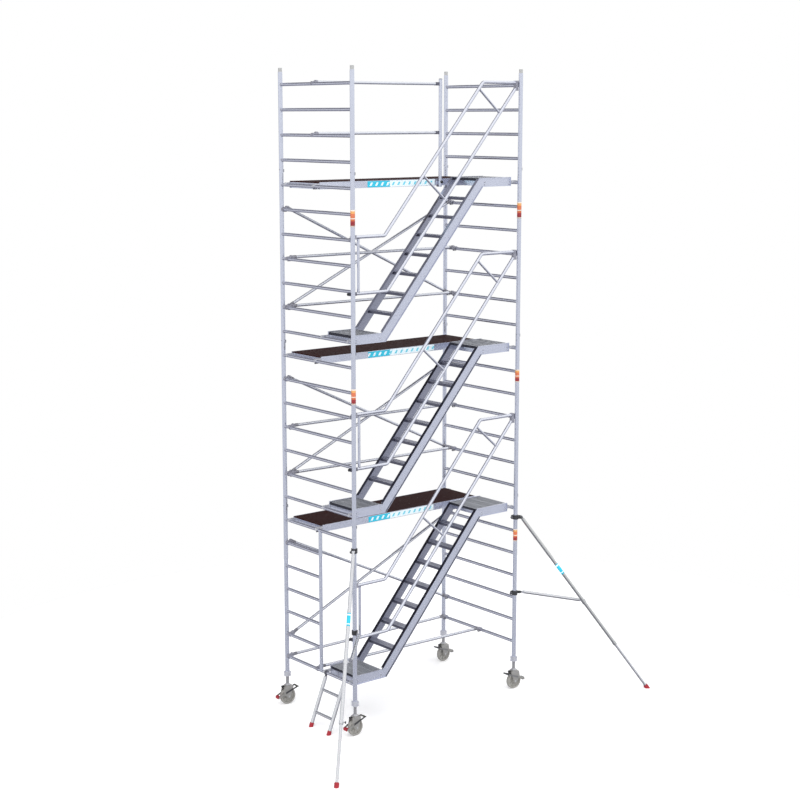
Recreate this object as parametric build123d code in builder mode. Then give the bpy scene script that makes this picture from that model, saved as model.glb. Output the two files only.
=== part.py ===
from build123d import *
from math import atan2, cos, degrees, radians, sin, tan
import os

# Mobile aluminium stair tower, millimetres, +Z up, standing on Z = 0.
# The origin is the middle of the floor area that the tower and its stabilisers cover.

os.makedirs("parts", exist_ok=True)

# ---- driving dimensions -------------------------------------------------------------------
TOWER_X = -113.6            # centre of the four posts in the part's frame
TOWER_Y = 521.4
BAY_LENGTH = 2500.0         # post centre to post centre, left frame to right frame
FRAME_WIDTH = 1340.0        # post centre to post centre, near post to far post
RUNG_PITCH = 283.0
FIRST_RUNG_Z = 606.0
POST_RADIUS = 25.4
POST_WALL = 2.8
RUNG_RADIUS = 19.0
RUNG_WALL = 2.0
MID_POST_RADIUS = 21.0
MID_POST_Y = TOWER_Y - 26.0
POST_FOOT_Z = 371.5         # lower end of the base posts, just above the nut's shoulder
WELD_GAP = 0.05             # keeps welded tubes as separate solids
RUN_GAP = 0.35              # clearance between pieces that move on each other
PIN_RADIUS = 4.0

X_LEFT = TOWER_X - BAY_LENGTH / 2
X_RIGHT = TOWER_X + BAY_LENGTH / 2
Y_NEAR = TOWER_Y - FRAME_WIDTH / 2
Y_FAR = TOWER_Y + FRAME_WIDTH / 2
ENDS = {"left": X_LEFT, "right": X_RIGHT}
INWARD = {"left": 1, "right": -1}
POSTS = [(x, y) for x in (X_LEFT, X_RIGHT) for y in (Y_NEAR, Y_FAR)]

# frame sets from the bottom up: name, first rung, last rung
FRAME_SETS = [("base", 1, 7), ("second", 8, 14), ("third", 15, 21), ("top", 22, 25)]
LEVELS = [1, 2, 3]


def rung_z(number):
    """Height of a rung's centre line; rungs are counted from 1 at the bottom."""
    return FIRST_RUNG_Z + (number - 1) * RUNG_PITCH


JOINT_HEIGHTS = [rung_z(last) + RUNG_PITCH / 2 for _, _, last in FRAME_SETS]
CLIP_RISE = 31.0            # lock pin above the joint between two frames


# ---- shapes that repeat -------------------------------------------------------------------
def add_tube(start, end, radius, wall):
    """Add a straight round tube to the open part."""
    run = Vector(*end) - Vector(*start)
    with BuildSketch(Plane(origin=start, z_dir=run)) as section:
        Circle(radius)
        Circle(radius - wall, mode=Mode.SUBTRACT)
    extrude(section.sketch, amount=run.length)


def add_rod(start, end, radius, mode=Mode.ADD):
    """Add, or with Mode.SUBTRACT drill, a straight round rod."""
    run = Vector(*end) - Vector(*start)
    with BuildSketch(Plane(origin=start, z_dir=run)) as section:
        Circle(radius)
    extrude(section.sketch, amount=run.length, mode=mode)


def add_box(low, high, mode=Mode.ADD):
    """Add a block between any two opposite corners."""
    size = Vector(*high) - Vector(*low)
    with Locations((Vector(*high) + Vector(*low)) / 2):
        Box(abs(size.X), abs(size.Y), abs(size.Z), mode=mode)


def add_box_tube(start, end, width, height, wall):
    """Add a level rectangular tube, its height along Z."""
    run = Vector(*end) - Vector(*start)
    across = run.cross(Vector(0, 0, 1))
    with BuildSketch(Plane(origin=start, x_dir=across, z_dir=run)) as section:
        Rectangle(width, height)
        Rectangle(width - 2 * wall, height - 2 * wall, mode=Mode.SUBTRACT)
    extrude(section.sketch, amount=run.length)


def add_bent_tube(points, radius, wall, bend_radius):
    """Add a tube in one vertical plane: straight runs with round bends between them."""
    points = [Vector(*point) for point in points]
    start = points[0]
    for before, corner, after in zip(points, points[1:], points[2:]):
        heading = (corner - before).normalized()
        leaving = (after - corner).normalized()
        turn = radians(heading.get_angle(leaving))
        setback = bend_radius * tan(turn / 2)
        bend_start = corner - heading * setback
        add_tube(start, bend_start - heading * WELD_GAP, radius, wall)
        axle = heading.cross(leaving).normalized()
        centre = bend_start + axle.cross(heading) * bend_radius
        with BuildSketch(Plane(origin=bend_start, z_dir=heading)) as section:
            Circle(radius)
            Circle(radius - wall, mode=Mode.SUBTRACT)
        revolve(section.sketch, axis=Axis(centre, axle), revolution_arc=degrees(turn))
        start = corner + leaving * (setback + WELD_GAP)
    add_tube(start, points[-1], radius, wall)


# ---- end frames ---------------------------------------------------------------------------
def add_full_rungs(x, first, last):
    for number in range(first, last + 1):
        z = rung_z(number)
        add_tube((x, Y_NEAR, z), (x, Y_FAR, z), RUNG_RADIUS, RUNG_WALL)


def add_passage_rungs(x):
    """Rungs 2 to 6 end at a middle upright, so the near half is a doorway."""
    for number in range(2, 7):
        z = rung_z(number)
        add_tube((x, MID_POST_Y, z), (x, Y_FAR, z), RUNG_RADIUS, RUNG_WALL)
    foot = (x, MID_POST_Y, rung_z(1))
    head = (x, MID_POST_Y, rung_z(7))
    add_rod(foot, head, MID_POST_RADIUS + WELD_GAP, Mode.SUBTRACT)
    add_tube(foot, head, MID_POST_RADIUS, RUNG_WALL)
    for number in (1, 7):
        z = rung_z(number)
        add_rod((x, Y_NEAR, z), (x, Y_FAR, z), RUNG_RADIUS + WELD_GAP, Mode.SUBTRACT)
        add_tube((x, Y_NEAR, z), (x, Y_FAR, z), RUNG_RADIUS, RUNG_WALL)


def add_posts(x, bottom, top, pinned):
    """Two posts, with a cross hole near the foot where a lock pin holds the spigot."""
    for y in (Y_NEAR, Y_FAR):
        add_rod((x, y, bottom), (x, y, top), POST_RADIUS + WELD_GAP, Mode.SUBTRACT)
    for y in (Y_NEAR, Y_FAR):
        add_tube((x, y, bottom), (x, y, top), POST_RADIUS, POST_WALL)
        if pinned:
            z = bottom + CLIP_RISE
            add_rod((x - 40, y, z), (x + 40, y, z), PIN_RADIUS + 0.2, Mode.SUBTRACT)


for level, (name, first, last) in enumerate(FRAME_SETS):
    bottom = POST_FOOT_Z if level == 0 else JOINT_HEIGHTS[level - 1] + WELD_GAP
    for side, x in ENDS.items():
        with BuildPart() as frame:
            if name == "base" and side == "left":
                add_passage_rungs(x)
            else:
                add_full_rungs(x, first, last)
            add_posts(x, bottom, JOINT_HEIGHTS[level], pinned=level > 0)
        frame.part.label = f"{name}_frame_{side}"
        export_step(frame.part, f"parts/{name}_frame_{side}.step")

SPIGOT_RADIUS = POST_RADIUS - POST_WALL - 0.4     # the stub that the next post slides over
SPIGOT_ROOT_RADIUS = POST_RADIUS - POST_WALL - 0.1
SPIGOT_BELOW = 120.0
SPIGOT_ABOVE = 45.0

with BuildPart() as spigots:
    for z in JOINT_HEIGHTS:
        for x, y in POSTS:
            add_tube((x, y, z), (x, y, z + SPIGOT_ABOVE), SPIGOT_RADIUS, 3)
            add_tube((x, y, z - SPIGOT_BELOW), (x, y, z), SPIGOT_ROOT_RADIUS, 3.3)
            pin_z = z + CLIP_RISE
            add_rod((x - 40, y, pin_z), (x + 40, y, pin_z), PIN_RADIUS + 0.2, Mode.SUBTRACT)
spigots.part.label = "frame_spigots"
export_step(spigots.part, "parts/frame_spigots.step")


def add_spring_clip(x, y, z):
    """A lock pin through post and spigot, with a turned-down grip on its outer end."""
    add_rod((x - 29, y, z), (x + 36, y, z), PIN_RADIUS)
    add_rod((x + 36, y, z + 4), (x + 36, y, z - 30), 3.5)
    add_rod((x + 36, y, z - 27), (x + 27, y, z - 27), 3)


# ---- platforms ----------------------------------------------------------------------------
DECK_NEAR = TOWER_Y + 8.0
DECK_FAR = TOWER_Y + 592.0
DECK_HALF_LENGTH = 1190.0
BEAM_TOP = 45.0             # above the centre of the rungs that carry the platform
BEAM_BOTTOM = -35.0
LEDGE = 32.0
DECK_THICKNESS = 12.0
HOOK_OUTER = 28.5
HOOK_WIDTH = 30.0
DECK_HOOK_OFFSET = 18.0

PLATFORM_RUNGS = [7, 14, 21]
LANDING_RUNGS = [1, 8, 15]


def add_side_beam(y_face, inward, z):
    """A side beam with a ledge for the deck and a lip that hides the deck's edge."""
    outline = [
        (0, BEAM_BOTTOM), (34, BEAM_BOTTOM), (34, BEAM_BOTTOM + 4), (4, BEAM_BOTTOM + 4),
        (4, LEDGE - 4), (34, LEDGE - 4), (34, LEDGE), (8, LEDGE), (8, BEAM_TOP), (0, BEAM_TOP),
    ]
    x_start = TOWER_X - DECK_HALF_LENGTH
    plane = Plane(origin=(x_start, y_face, z), x_dir=(0, 1, 0), z_dir=(1, 0, 0))
    with BuildSketch(plane) as section:
        with BuildLine():
            Polyline([(across * inward, up) for across, up in outline], close=True)
        make_face()
    extrude(section.sketch, amount=2 * DECK_HALF_LENGTH, dir=(1, 0, 0))


def add_hook(x, y, z, inward, reach, top, bottom, width):
    """A cast hook: a half ring over a rung and an arm back to the piece it carries."""
    plane = Plane(origin=(x, y, z), x_dir=(inward, 0, 0), z_dir=(0, -inward, 0))
    with BuildSketch(plane) as section:
        Circle(HOOK_OUTER)
        with Locations((reach / 2, (top + bottom) / 2)):
            Rectangle(reach, top - bottom)
        Circle(RUNG_RADIUS + RUN_GAP, mode=Mode.SUBTRACT)
        with Locations((-HOOK_OUTER / 2, -HOOK_OUTER)):
            Rectangle(HOOK_OUTER + 2, HOOK_OUTER + 14, mode=Mode.SUBTRACT)
        with Locations((HOOK_OUTER / 2, -HOOK_OUTER / 2 - 4)):
            Rectangle(HOOK_OUTER + 2, HOOK_OUTER, mode=Mode.SUBTRACT)
    extrude(section.sketch, amount=width / 2, both=True)


END_BEAM_WIDTH = 40.0

for level, rung in zip(LEVELS, PLATFORM_RUNGS):
    z = rung_z(rung)
    with BuildPart() as platform:
        add_side_beam(DECK_NEAR, 1, z)
        add_side_beam(DECK_FAR, -1, z)
        mid_z = z + (BEAM_BOTTOM + LEDGE) / 2
        near_end = DECK_NEAR + 34 + WELD_GAP
        far_end = DECK_FAR - 34 - WELD_GAP
        end_x = DECK_HALF_LENGTH - END_BEAM_WIDTH / 2
        for x in (TOWER_X - end_x, TOWER_X + end_x):
            add_box_tube((x, near_end, mid_z), (x, far_end, mid_z), END_BEAM_WIDTH, 66, 3)
        for step in range(-3, 4):
            x = TOWER_X + step * 285
            top_z = z + LEDGE - 20.5
            add_box_tube((x, near_end, top_z), (x, far_end, top_z), 30, 40, 2)
    platform.part.label = f"platform_frame_{level}"
    export_step(platform.part, f"parts/platform_frame_{level}.step")

for level, rung in zip(LEVELS, PLATFORM_RUNGS):
    deck_low = rung_z(rung) + LEDGE + 0.1
    with BuildPart() as deck:
        low = (TOWER_X - DECK_HALF_LENGTH + 1, DECK_NEAR + 8.5, deck_low)
        high = (TOWER_X + DECK_HALF_LENGTH - 1, DECK_FAR - 8.5, deck_low + DECK_THICKNESS)
        add_box(low, high)
    deck.part.label = f"platform_deck_{level}"
    export_step(deck.part, f"parts/platform_deck_{level}.step")

# ---- stairs -------------------------------------------------------------------------------
STAIR_NEAR = TOWER_Y - 605.0
STAIR_FAR = TOWER_Y - 95.0
STRINGER_TOP = 68.0         # above the centre of the rung that carries the landing
STRINGER_BOTTOM = -37.0
STRINGER_THICKNESS = 16.0
STRINGER_LIP = 10.0
FLANGE_WIDTH = 28.0         # the flange along the inner side of each flight's top edge
FLANGE_HEIGHT = 7.0
FLANGE_INSET = 12.0         # keeps the flange clear of the landing beams
LIP_WIDTH = 5.0
RISE = 6 * RUNG_PITCH
STEP_COUNT = 8              # risers between the two landings
LANDING_LEFT = TOWER_X - 1172.0
LANDING_RIGHT = TOWER_X + 1172.0
LOWER_BEND_TOP = TOWER_X - 789.0
UPPER_BEND_TOP = TOWER_X + 671.0
GOING = (UPPER_BEND_TOP - LOWER_BEND_TOP) / STEP_COUNT
RISER = RISE / STEP_COUNT
SLOPE = atan2(RISER, GOING)
BEND_SHIFT = 57.0           # how far the underside's bends lie to the right of the top's
TREAD_DEPTH = 105.0
TREAD_THICKNESS = 32.0
LANDING_DROP = 5.0          # landing planks below the stringer's top edge
LANDING_THICKNESS = 30.0


def stringer_outline(z):
    """Corner points of a stringer: lower landing, flight, upper landing."""
    low = z + STRINGER_BOTTOM
    high = z + STRINGER_TOP
    return [
        (LANDING_LEFT, low), (LOWER_BEND_TOP + BEND_SHIFT, low),
        (UPPER_BEND_TOP + BEND_SHIFT, low + RISE), (LANDING_RIGHT, low + RISE),
        (LANDING_RIGHT, high + RISE), (UPPER_BEND_TOP, high + RISE),
        (LOWER_BEND_TOP, high), (LANDING_LEFT, high),
    ]


def cut_mitre(y_outer, bend_x, z):
    """The welded mitre between a landing beam and the flight, as a hairline gap."""
    with BuildSketch(Plane.XZ.offset(-y_outer)) as seam:
        with BuildLine():
            Polyline([
                (bend_x, z + STRINGER_TOP), (bend_x + BEND_SHIFT, z + STRINGER_BOTTOM),
                (bend_x + BEND_SHIFT + WELD_GAP, z + STRINGER_BOTTOM),
                (bend_x + WELD_GAP, z + STRINGER_TOP),
            ], close=True)
        make_face()
    extrude(seam.sketch, amount=STRINGER_THICKNESS, both=True, mode=Mode.SUBTRACT)


def add_stringer(y_outer, inward, z):
    """A stringer plate with a raised lip round its outer face."""
    with BuildSketch(Plane.XZ.offset(-y_outer)) as plate:
        with BuildLine():
            Polyline(stringer_outline(z), close=True)
        make_face()
    with BuildSketch(Plane.XZ.offset(-y_outer)) as recess:
        with BuildLine():
            Polyline(stringer_outline(z), close=True)
        make_face()
        offset(amount=-LIP_WIDTH, kind=Kind.INTERSECTION, mode=Mode.REPLACE)
    extrude(plate.sketch, amount=STRINGER_THICKNESS, dir=(0, inward, 0))
    extrude(recess.sketch, amount=STRINGER_LIP, dir=(0, inward, 0), mode=Mode.SUBTRACT)
    for bend_x, bend_z in ((LOWER_BEND_TOP, z), (UPPER_BEND_TOP, z + RISE)):
        cut_mitre(y_outer, bend_x, bend_z)


def add_inner_flange(y_inner, inward, z):
    """A flange along the top edge of the flight, on the side that faces the treads."""
    start_x = LOWER_BEND_TOP + FLANGE_INSET
    end_x = UPPER_BEND_TOP - FLANGE_INSET
    start_z = z + STRINGER_TOP + FLANGE_INSET * tan(SLOPE)
    end_z = z + STRINGER_TOP + RISE - FLANGE_INSET * tan(SLOPE)
    with BuildSketch(Plane.XZ.offset(-y_inner)) as strip:
        with BuildLine():
            Polyline([
                (start_x, start_z), (end_x, end_z),
                (end_x, end_z - FLANGE_HEIGHT), (start_x, start_z - FLANGE_HEIGHT),
            ], close=True)
        make_face()
    extrude(strip.sketch, amount=FLANGE_WIDTH, dir=(0, inward, 0))


for level, rung in zip(LEVELS, LANDING_RUNGS):
    z = rung_z(rung)
    with BuildPart() as stringers:
        add_stringer(STAIR_NEAR, 1, z)
        add_stringer(STAIR_FAR, -1, z)
        add_inner_flange(STAIR_NEAR + STRINGER_THICKNESS, 1, z)
        add_inner_flange(STAIR_FAR - STRINGER_THICKNESS, -1, z)
        near_end = STAIR_NEAR + STRINGER_THICKNESS + WELD_GAP
        far_end = STAIR_FAR - STRINGER_THICKNESS - WELD_GAP
        bars = (
            (LANDING_LEFT + 22, z), (LOWER_BEND_TOP - 20, z),
            (UPPER_BEND_TOP + 90, z + RISE), (LANDING_RIGHT - 22, z + RISE),
        )
        for x, bar_z in bars:
            add_box_tube((x, near_end, bar_z), (x, far_end, bar_z), 40, 60, 3)
    stringers.part.label = f"stair_stringers_{level}"
    export_step(stringers.part, f"parts/stair_stringers_{level}.step")


def add_profile_across(x, z, width, height, ribs):
    """A hollow ribbed profile that spans between the stringers, top left corner at (x, z)."""
    y_start = STAIR_NEAR + STRINGER_THICKNESS + 0.1
    span = STAIR_FAR - STAIR_NEAR - 2 * STRINGER_THICKNESS - 0.2
    plane = Plane(origin=(x + width / 2, y_start, z - height / 2), x_dir=(1, 0, 0), z_dir=(0, -1, 0))
    groove_pitch = width / ribs
    with BuildSketch(plane) as section:
        Rectangle(width, height)
        Rectangle(width - 8, height - 10, mode=Mode.SUBTRACT)
        with Locations((0, height / 2)):
            with GridLocations(groove_pitch, 1, ribs - 1, 1):
                Rectangle(groove_pitch * 0.4, 4, mode=Mode.SUBTRACT)
    extrude(section.sketch, amount=span, dir=(0, 1, 0))


with BuildPart() as treads:
    for rung in LANDING_RUNGS:
        for step in range(1, STEP_COUNT):
            nose_x = LOWER_BEND_TOP + step * GOING + 5
            top_z = rung_z(rung) + STRINGER_TOP + step * RISER - 12
            add_profile_across(nose_x, top_z, TREAD_DEPTH, TREAD_THICKNESS, 6)
treads.part.label = "stair_treads"
export_step(treads.part, "parts/stair_treads.step")

UPPER_LANDING_START = UPPER_BEND_TOP + 4
LOWER_LANDING_END = LOWER_BEND_TOP - 6
BOARD_COUNT = 3

with BuildPart() as landings:
    for rung in LANDING_RUNGS:
        lower = (LANDING_LEFT + 1, LOWER_LANDING_END, rung_z(rung))
        upper = (UPPER_LANDING_START, LANDING_RIGHT - 1, rung_z(rung) + RISE)
        for start_x, end_x, z in (lower, upper):
            board = (end_x - start_x) / BOARD_COUNT
            top_z = z + STRINGER_TOP - LANDING_DROP
            for index in range(BOARD_COUNT):
                board_x = start_x + index * board
                add_profile_across(board_x, top_z, board - 0.6, LANDING_THICKNESS, 8)
landings.part.label = "stair_landing_boards"
export_step(landings.part, "parts/stair_landing_boards.step")

STAIR_HOOK_REACH = X_RIGHT - LANDING_RIGHT - 0.1
STAIR_HOOK_YS = (STAIR_NEAR + STRINGER_THICKNESS / 2, STAIR_FAR - STRINGER_THICKNESS / 2)
DECK_HOOK_REACH = BAY_LENGTH / 2 - DECK_HALF_LENGTH - 0.1
DECK_HOOK_YS = (DECK_NEAR + DECK_HOOK_OFFSET, DECK_FAR - DECK_HOOK_OFFSET)

with BuildPart() as carrying_hooks:
    for platform_rung, landing_rung in zip(PLATFORM_RUNGS, LANDING_RUNGS):
        for side, x in ENDS.items():
            inward = INWARD[side]
            stair_rung = landing_rung if side == "left" else platform_rung
            for y in DECK_HOOK_YS:
                add_hook(x, y, rung_z(platform_rung), inward, DECK_HOOK_REACH, 28, -2, HOOK_WIDTH)
            for y in STAIR_HOOK_YS:
                add_hook(x, y, rung_z(stair_rung), inward, STAIR_HOOK_REACH, 28, -2, 26)
carrying_hooks.part.label = "carrying_hooks"
export_step(carrying_hooks.part, "parts/carrying_hooks.step")


def add_wind_latch(x, y, z, inward):
    """A latch plate beside a platform hook that closes under the rung."""
    add_box((x - 8, y, z - 34), (x + 8, y + 6, z - RUNG_RADIUS - 0.5))
    add_box((x + 8 * inward, y, z - 34), (x + 46 * inward, y + 6, z - 24))
    add_box((x + 38 * inward, y, z - 24), (x + 46 * inward, y + 6, z + 24))


LATCH_OFFSET = HOOK_WIDTH / 2 + 1

with BuildPart() as locks:
    for z in JOINT_HEIGHTS[:-1]:
        for x, y in POSTS:
            add_spring_clip(x, y, z + CLIP_RISE)
    for rung in PLATFORM_RUNGS:
        for side, x in ENDS.items():
            add_wind_latch(x, DECK_HOOK_YS[0] + LATCH_OFFSET, rung_z(rung), INWARD[side])
locks.part.label = "spring_clips_and_latches"
export_step(locks.part, "parts/spring_clips_and_latches.step")

# ---- stair handrails ----------------------------------------------------------------------
RAIL_RADIUS = 19.0
RAIL_WALL = 2.0
RAIL_Y = TOWER_Y - 635.0
RAIL_BEND = 45.0
RAIL_END = 1215.0           # from the tower's centre to the end of each rail
UPPER_RAIL_RISE = 32.0      # above the rung four above the landing's rung
LOWER_RAIL_DROP = 26.0      # below the rung two above the landing's rung
UPPER_RAIL_BEND = TOWER_X - 775.0
LOWER_RAIL_BEND = TOWER_X - 744.0
UPRIGHT_X = TOWER_X - 1148.0
STRUT_XS = (TOWER_X - 215.0, TOWER_X + 622.0)


def rail_heights(landing_rung):
    upper = rung_z(landing_rung + 4) + UPPER_RAIL_RISE
    lower = rung_z(landing_rung + 2) - LOWER_RAIL_DROP
    return upper, lower


def lower_rail_end(landing_rung):
    """Where the sloping lower rail ends, just below the upper rail's claw."""
    x = TOWER_X + RAIL_END - 24
    return x, rail_heights(landing_rung)[1] + (x - LOWER_RAIL_BEND) * tan(SLOPE)


def add_welded_bar(start, end, radius, wall, clear_radius):
    """A short tube that stops clear of the two tubes that it joins."""
    direction = (Vector(*end) - Vector(*start)).normalized() * clear_radius
    add_tube(Vector(*start) + direction, Vector(*end) - direction, radius, wall)


for level, rung in zip(LEVELS, LANDING_RUNGS):
    upper_z, lower_z = rail_heights(rung)
    rail_left = TOWER_X - RAIL_END
    rail_right = TOWER_X + RAIL_END
    upper_top = upper_z + RISE
    upper_bend_top = UPPER_RAIL_BEND + RISE / tan(SLOPE)
    low_end_x, low_end_z = lower_rail_end(rung)
    rails = (
        [(rail_left, upper_z), (UPPER_RAIL_BEND, upper_z),
         (upper_bend_top, upper_top), (rail_right, upper_top)],
        [(rail_left, lower_z), (LOWER_RAIL_BEND, lower_z), (low_end_x, low_end_z)],
    )
    rail_gap = (upper_z - lower_z) * cos(SLOPE) + (LOWER_RAIL_BEND - UPPER_RAIL_BEND) * sin(SLOPE)
    with BuildPart() as handrail:
        for rail in rails:
            add_bent_tube([(x, RAIL_Y, z) for x, z in rail], RAIL_RADIUS, RAIL_WALL, RAIL_BEND)
        upright = (UPRIGHT_X, RAIL_Y, lower_z), (UPRIGHT_X, RAIL_Y, upper_z)
        add_welded_bar(*upright, 16, RAIL_WALL, RAIL_RADIUS + WELD_GAP)
        for x in STRUT_XS:
            z = upper_z + (x - UPPER_RAIL_BEND) * tan(SLOPE)
            strut_end = (x + rail_gap * sin(SLOPE), RAIL_Y, z - rail_gap * cos(SLOPE))
            add_welded_bar((x, RAIL_Y, z), strut_end, 14, RAIL_WALL, RAIL_RADIUS + WELD_GAP)
    handrail.part.label = f"stair_handrail_{level}"
    export_step(handrail.part, f"parts/stair_handrail_{level}.step")

# ---- guard post on the top platform, and the couplers that hold rails to posts -------------
GUARD_POST_X = TOWER_X + 570.0
GUARD_POST_RADIUS = 21.0
GUARD_POST_Y = DECK_NEAR - GUARD_POST_RADIUS - 3
GUARD_POST_BOTTOM = rung_z(21) - 51.0
GUARD_POST_TOP = 7472.0
TOP_RAIL_RUNGS = (23, 25)
TOP_RAIL_RISE = 20.0
TOP_RAIL_LEFT_Y = TOWER_Y + 49.0
TOP_RAIL_END_X = GUARD_POST_X - 34.0
TOP_RAIL_END_Y = TOWER_Y + 2.0
COUPLER_WALL = 7.0
COUPLER_HEIGHT = 38.0
COUPLER_REACH = 23.0        # half width of the boss round a rail
RAIL_SOCKET = 28.0          # how far a rail's end sits in its boss

with BuildPart() as guard_post:
    top = (GUARD_POST_X, GUARD_POST_Y, GUARD_POST_TOP)
    add_tube((GUARD_POST_X, GUARD_POST_Y, GUARD_POST_BOTTOM), top, GUARD_POST_RADIUS, 2.5)
guard_post.part.label = "guard_post"
export_step(guard_post.part, "parts/guard_post.step")


def add_coupler(post, post_radius, rail_x, rail_y, z, inward):
    """A bracket against the back of a post, with a boss for the end of a level rail."""
    x, y = post
    half = COUPLER_HEIGHT / 2
    near_x = x - (post_radius + COUPLER_WALL - 5) * inward
    far_x = rail_x + RAIL_SOCKET * inward
    add_box((near_x, y + COUPLER_WALL, z - half), (x, rail_y + COUPLER_WALL + 8, z + half))
    add_box((x, rail_y - COUPLER_REACH, z - half), (far_x, rail_y + COUPLER_REACH, z + half))
    add_rod((x, y, z - 60), (x, y, z + 60), post_radius + WELD_GAP, Mode.SUBTRACT)
    rail_start = (rail_x - 0.6 * inward, rail_y, z)
    rail_out = (rail_x + 60 * inward, rail_y, z)
    add_rod(rail_start, rail_out, RAIL_RADIUS + WELD_GAP, Mode.SUBTRACT)


def add_foot_bracket():
    """The two straps and the toe that hold the guard post against the platform's side beam."""
    x, y, z = GUARD_POST_X, GUARD_POST_Y, rung_z(21)
    reach = GUARD_POST_RADIUS + 6
    for low in (BEAM_BOTTOM - 14, BEAM_TOP - 26):
        add_box((x - reach, y + 2, z + low), (x + reach, DECK_NEAR - 0.1, z + low + 24))
    toe_low = (x - 14, DECK_NEAR - 20, z + BEAM_BOTTOM - 14)
    add_box(toe_low, (x + 14, DECK_NEAR + 26, z + BEAM_BOTTOM - 0.1))
    bore = GUARD_POST_RADIUS + WELD_GAP
    add_rod((x, y, z - 80), (x, y, z + 80), bore, Mode.SUBTRACT)


with BuildPart() as couplers:
    for rung in LANDING_RUNGS:
        _, lower_z = rail_heights(rung)
        add_coupler((X_LEFT, Y_NEAR), POST_RADIUS, TOWER_X - RAIL_END, RAIL_Y, lower_z, 1)
        notch = (X_LEFT, Y_NEAR, rung_z(rung + 2)), (X_LEFT, Y_NEAR + 90, rung_z(rung + 2))
        add_rod(*notch, RUNG_RADIUS + 0.2, Mode.SUBTRACT)
    for rung in TOP_RAIL_RUNGS:
        z = rung_z(rung) + TOP_RAIL_RISE
        guard = (GUARD_POST_X, GUARD_POST_Y)
        add_coupler(guard, GUARD_POST_RADIUS, TOP_RAIL_END_X, TOP_RAIL_END_Y, z, -1)
    add_foot_bracket()
couplers.part.label = "rail_couplers"
export_step(couplers.part, "parts/rail_couplers.step")

# ---- braces and guardrails with claw hooks -------------------------------------------------
BRACE_RADIUS = 17.5
BRACE_WALL = 2.0
KNUCKLE_RADIUS = 22.0
CLAW_REACH = 46.0           # from the rung's centre to the centre of the knuckle
CLAW_RISE = 20.0
KNUCKLE_CLEAR = KNUCKLE_RADIUS + 0.8
# lines across the tower at the left and right ends, measured from the tower's centre
GUARD_LINE = (555.0, 475.0)
# the falling braces pass 3 mm behind the rising ones where they cross
RISING_LINE = (604.0, 540.0)
FALLING_LINE = (627.0, 593.0)
FAR_BASE_LINE = (627.0, 627.0)
MIDDLE_BASE_LINE = (52.0, -40.0)
DIAGONALS = [(2, 6), (9, 13), (16, 20)]
GUARDRAIL_RUNGS = (9, 11, 16, 18)


def knuckle(side, line, rung):
    """Centre of the round boss where a brace meets its claw."""
    y = TOWER_Y + line[0 if side == "left" else 1]
    return Vector(ENDS[side] + CLAW_REACH * INWARD[side], y, rung_z(rung) + CLAW_RISE)


def brace_ends(line, left_rung, right_rung):
    return knuckle("left", line, left_rung), knuckle("right", line, right_rung)


diagonal_lines = []
for low, high in DIAGONALS:
    diagonal_lines.append((RISING_LINE, low, high))
    diagonal_lines.append((FALLING_LINE, high, low))
level_lines = [(GUARD_LINE, rung, rung) for rung in GUARDRAIL_RUNGS]
level_lines.append((FAR_BASE_LINE, 1, 1))
level_lines.append((MIDDLE_BASE_LINE, 1, 1))

with BuildPart() as diagonals:
    for line, left_rung, right_rung in diagonal_lines:
        start, end = brace_ends(line, left_rung, right_rung)
        add_welded_bar(start, end, BRACE_RADIUS, BRACE_WALL, KNUCKLE_CLEAR)
diagonals.part.label = "diagonal_braces"
export_step(diagonals.part, "parts/diagonal_braces.step")

top_rail_lines = []
for rung in TOP_RAIL_RUNGS:
    start = Vector(X_LEFT + CLAW_REACH, TOP_RAIL_LEFT_Y, rung_z(rung) + TOP_RAIL_RISE)
    end = Vector(TOP_RAIL_END_X, TOP_RAIL_END_Y, rung_z(rung) + TOP_RAIL_RISE)
    top_rail_lines.append((start, end))

with BuildPart() as guardrails:
    for line, left_rung, right_rung in level_lines:
        start, end = brace_ends(line, left_rung, right_rung)
        add_welded_bar(start, end, BRACE_RADIUS, BRACE_WALL, KNUCKLE_CLEAR)
    for start, end in top_rail_lines:
        direction = (end - start).normalized()
        add_tube(start + direction * KNUCKLE_CLEAR, end, BRACE_RADIUS, BRACE_WALL)
guardrails.part.label = "guardrails"
export_step(guardrails.part, "parts/guardrails.step")

CLAW_WIDTH = 34.0


def add_claw(centre, inward):
    """A claw over a rung, with the round boss that its brace is fixed to."""
    across = Vector(0, CLAW_WIDTH / 2, 0)
    add_rod(centre - across, centre + across, KNUCKLE_RADIUS)
    rung = Vector(centre.X - CLAW_REACH * inward, centre.Y, centre.Z - CLAW_RISE)
    bore = RUNG_RADIUS + RUN_GAP
    add_rod(rung - across, rung + across, bore, Mode.SUBTRACT)
    add_hook(rung.X, rung.Y, rung.Z, inward, CLAW_REACH, HOOK_OUTER, 6, CLAW_WIDTH)


RAIL_CLAW_Y = Y_NEAR + 39.5
RAIL_CLAW_WIDTH = 26.0


def add_rail_claw(x, rung, inward):
    """A claw over a rung beside the near post, with a boss for a handrail's upper rail."""
    z = rung_z(rung)
    rail_z = z + UPPER_RAIL_RISE
    rail_x = x + (BAY_LENGTH / 2 - RAIL_END) * inward
    far_x = rail_x + RAIL_SOCKET * inward
    boss_low = (x + 27.5 * inward, RAIL_Y - COUPLER_REACH, z + 8)
    add_box(boss_low, (far_x, RAIL_Y + COUPLER_REACH, rail_z + COUPLER_REACH))
    add_hook(x, RAIL_CLAW_Y, z, inward, 34, HOOK_OUTER + 16, 2, RAIL_CLAW_WIDTH)
    socket = (rail_x - 0.6 * inward, RAIL_Y, rail_z), (far_x + 5 * inward, RAIL_Y, rail_z)
    add_rod(*socket, RAIL_RADIUS + WELD_GAP, Mode.SUBTRACT)


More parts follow.
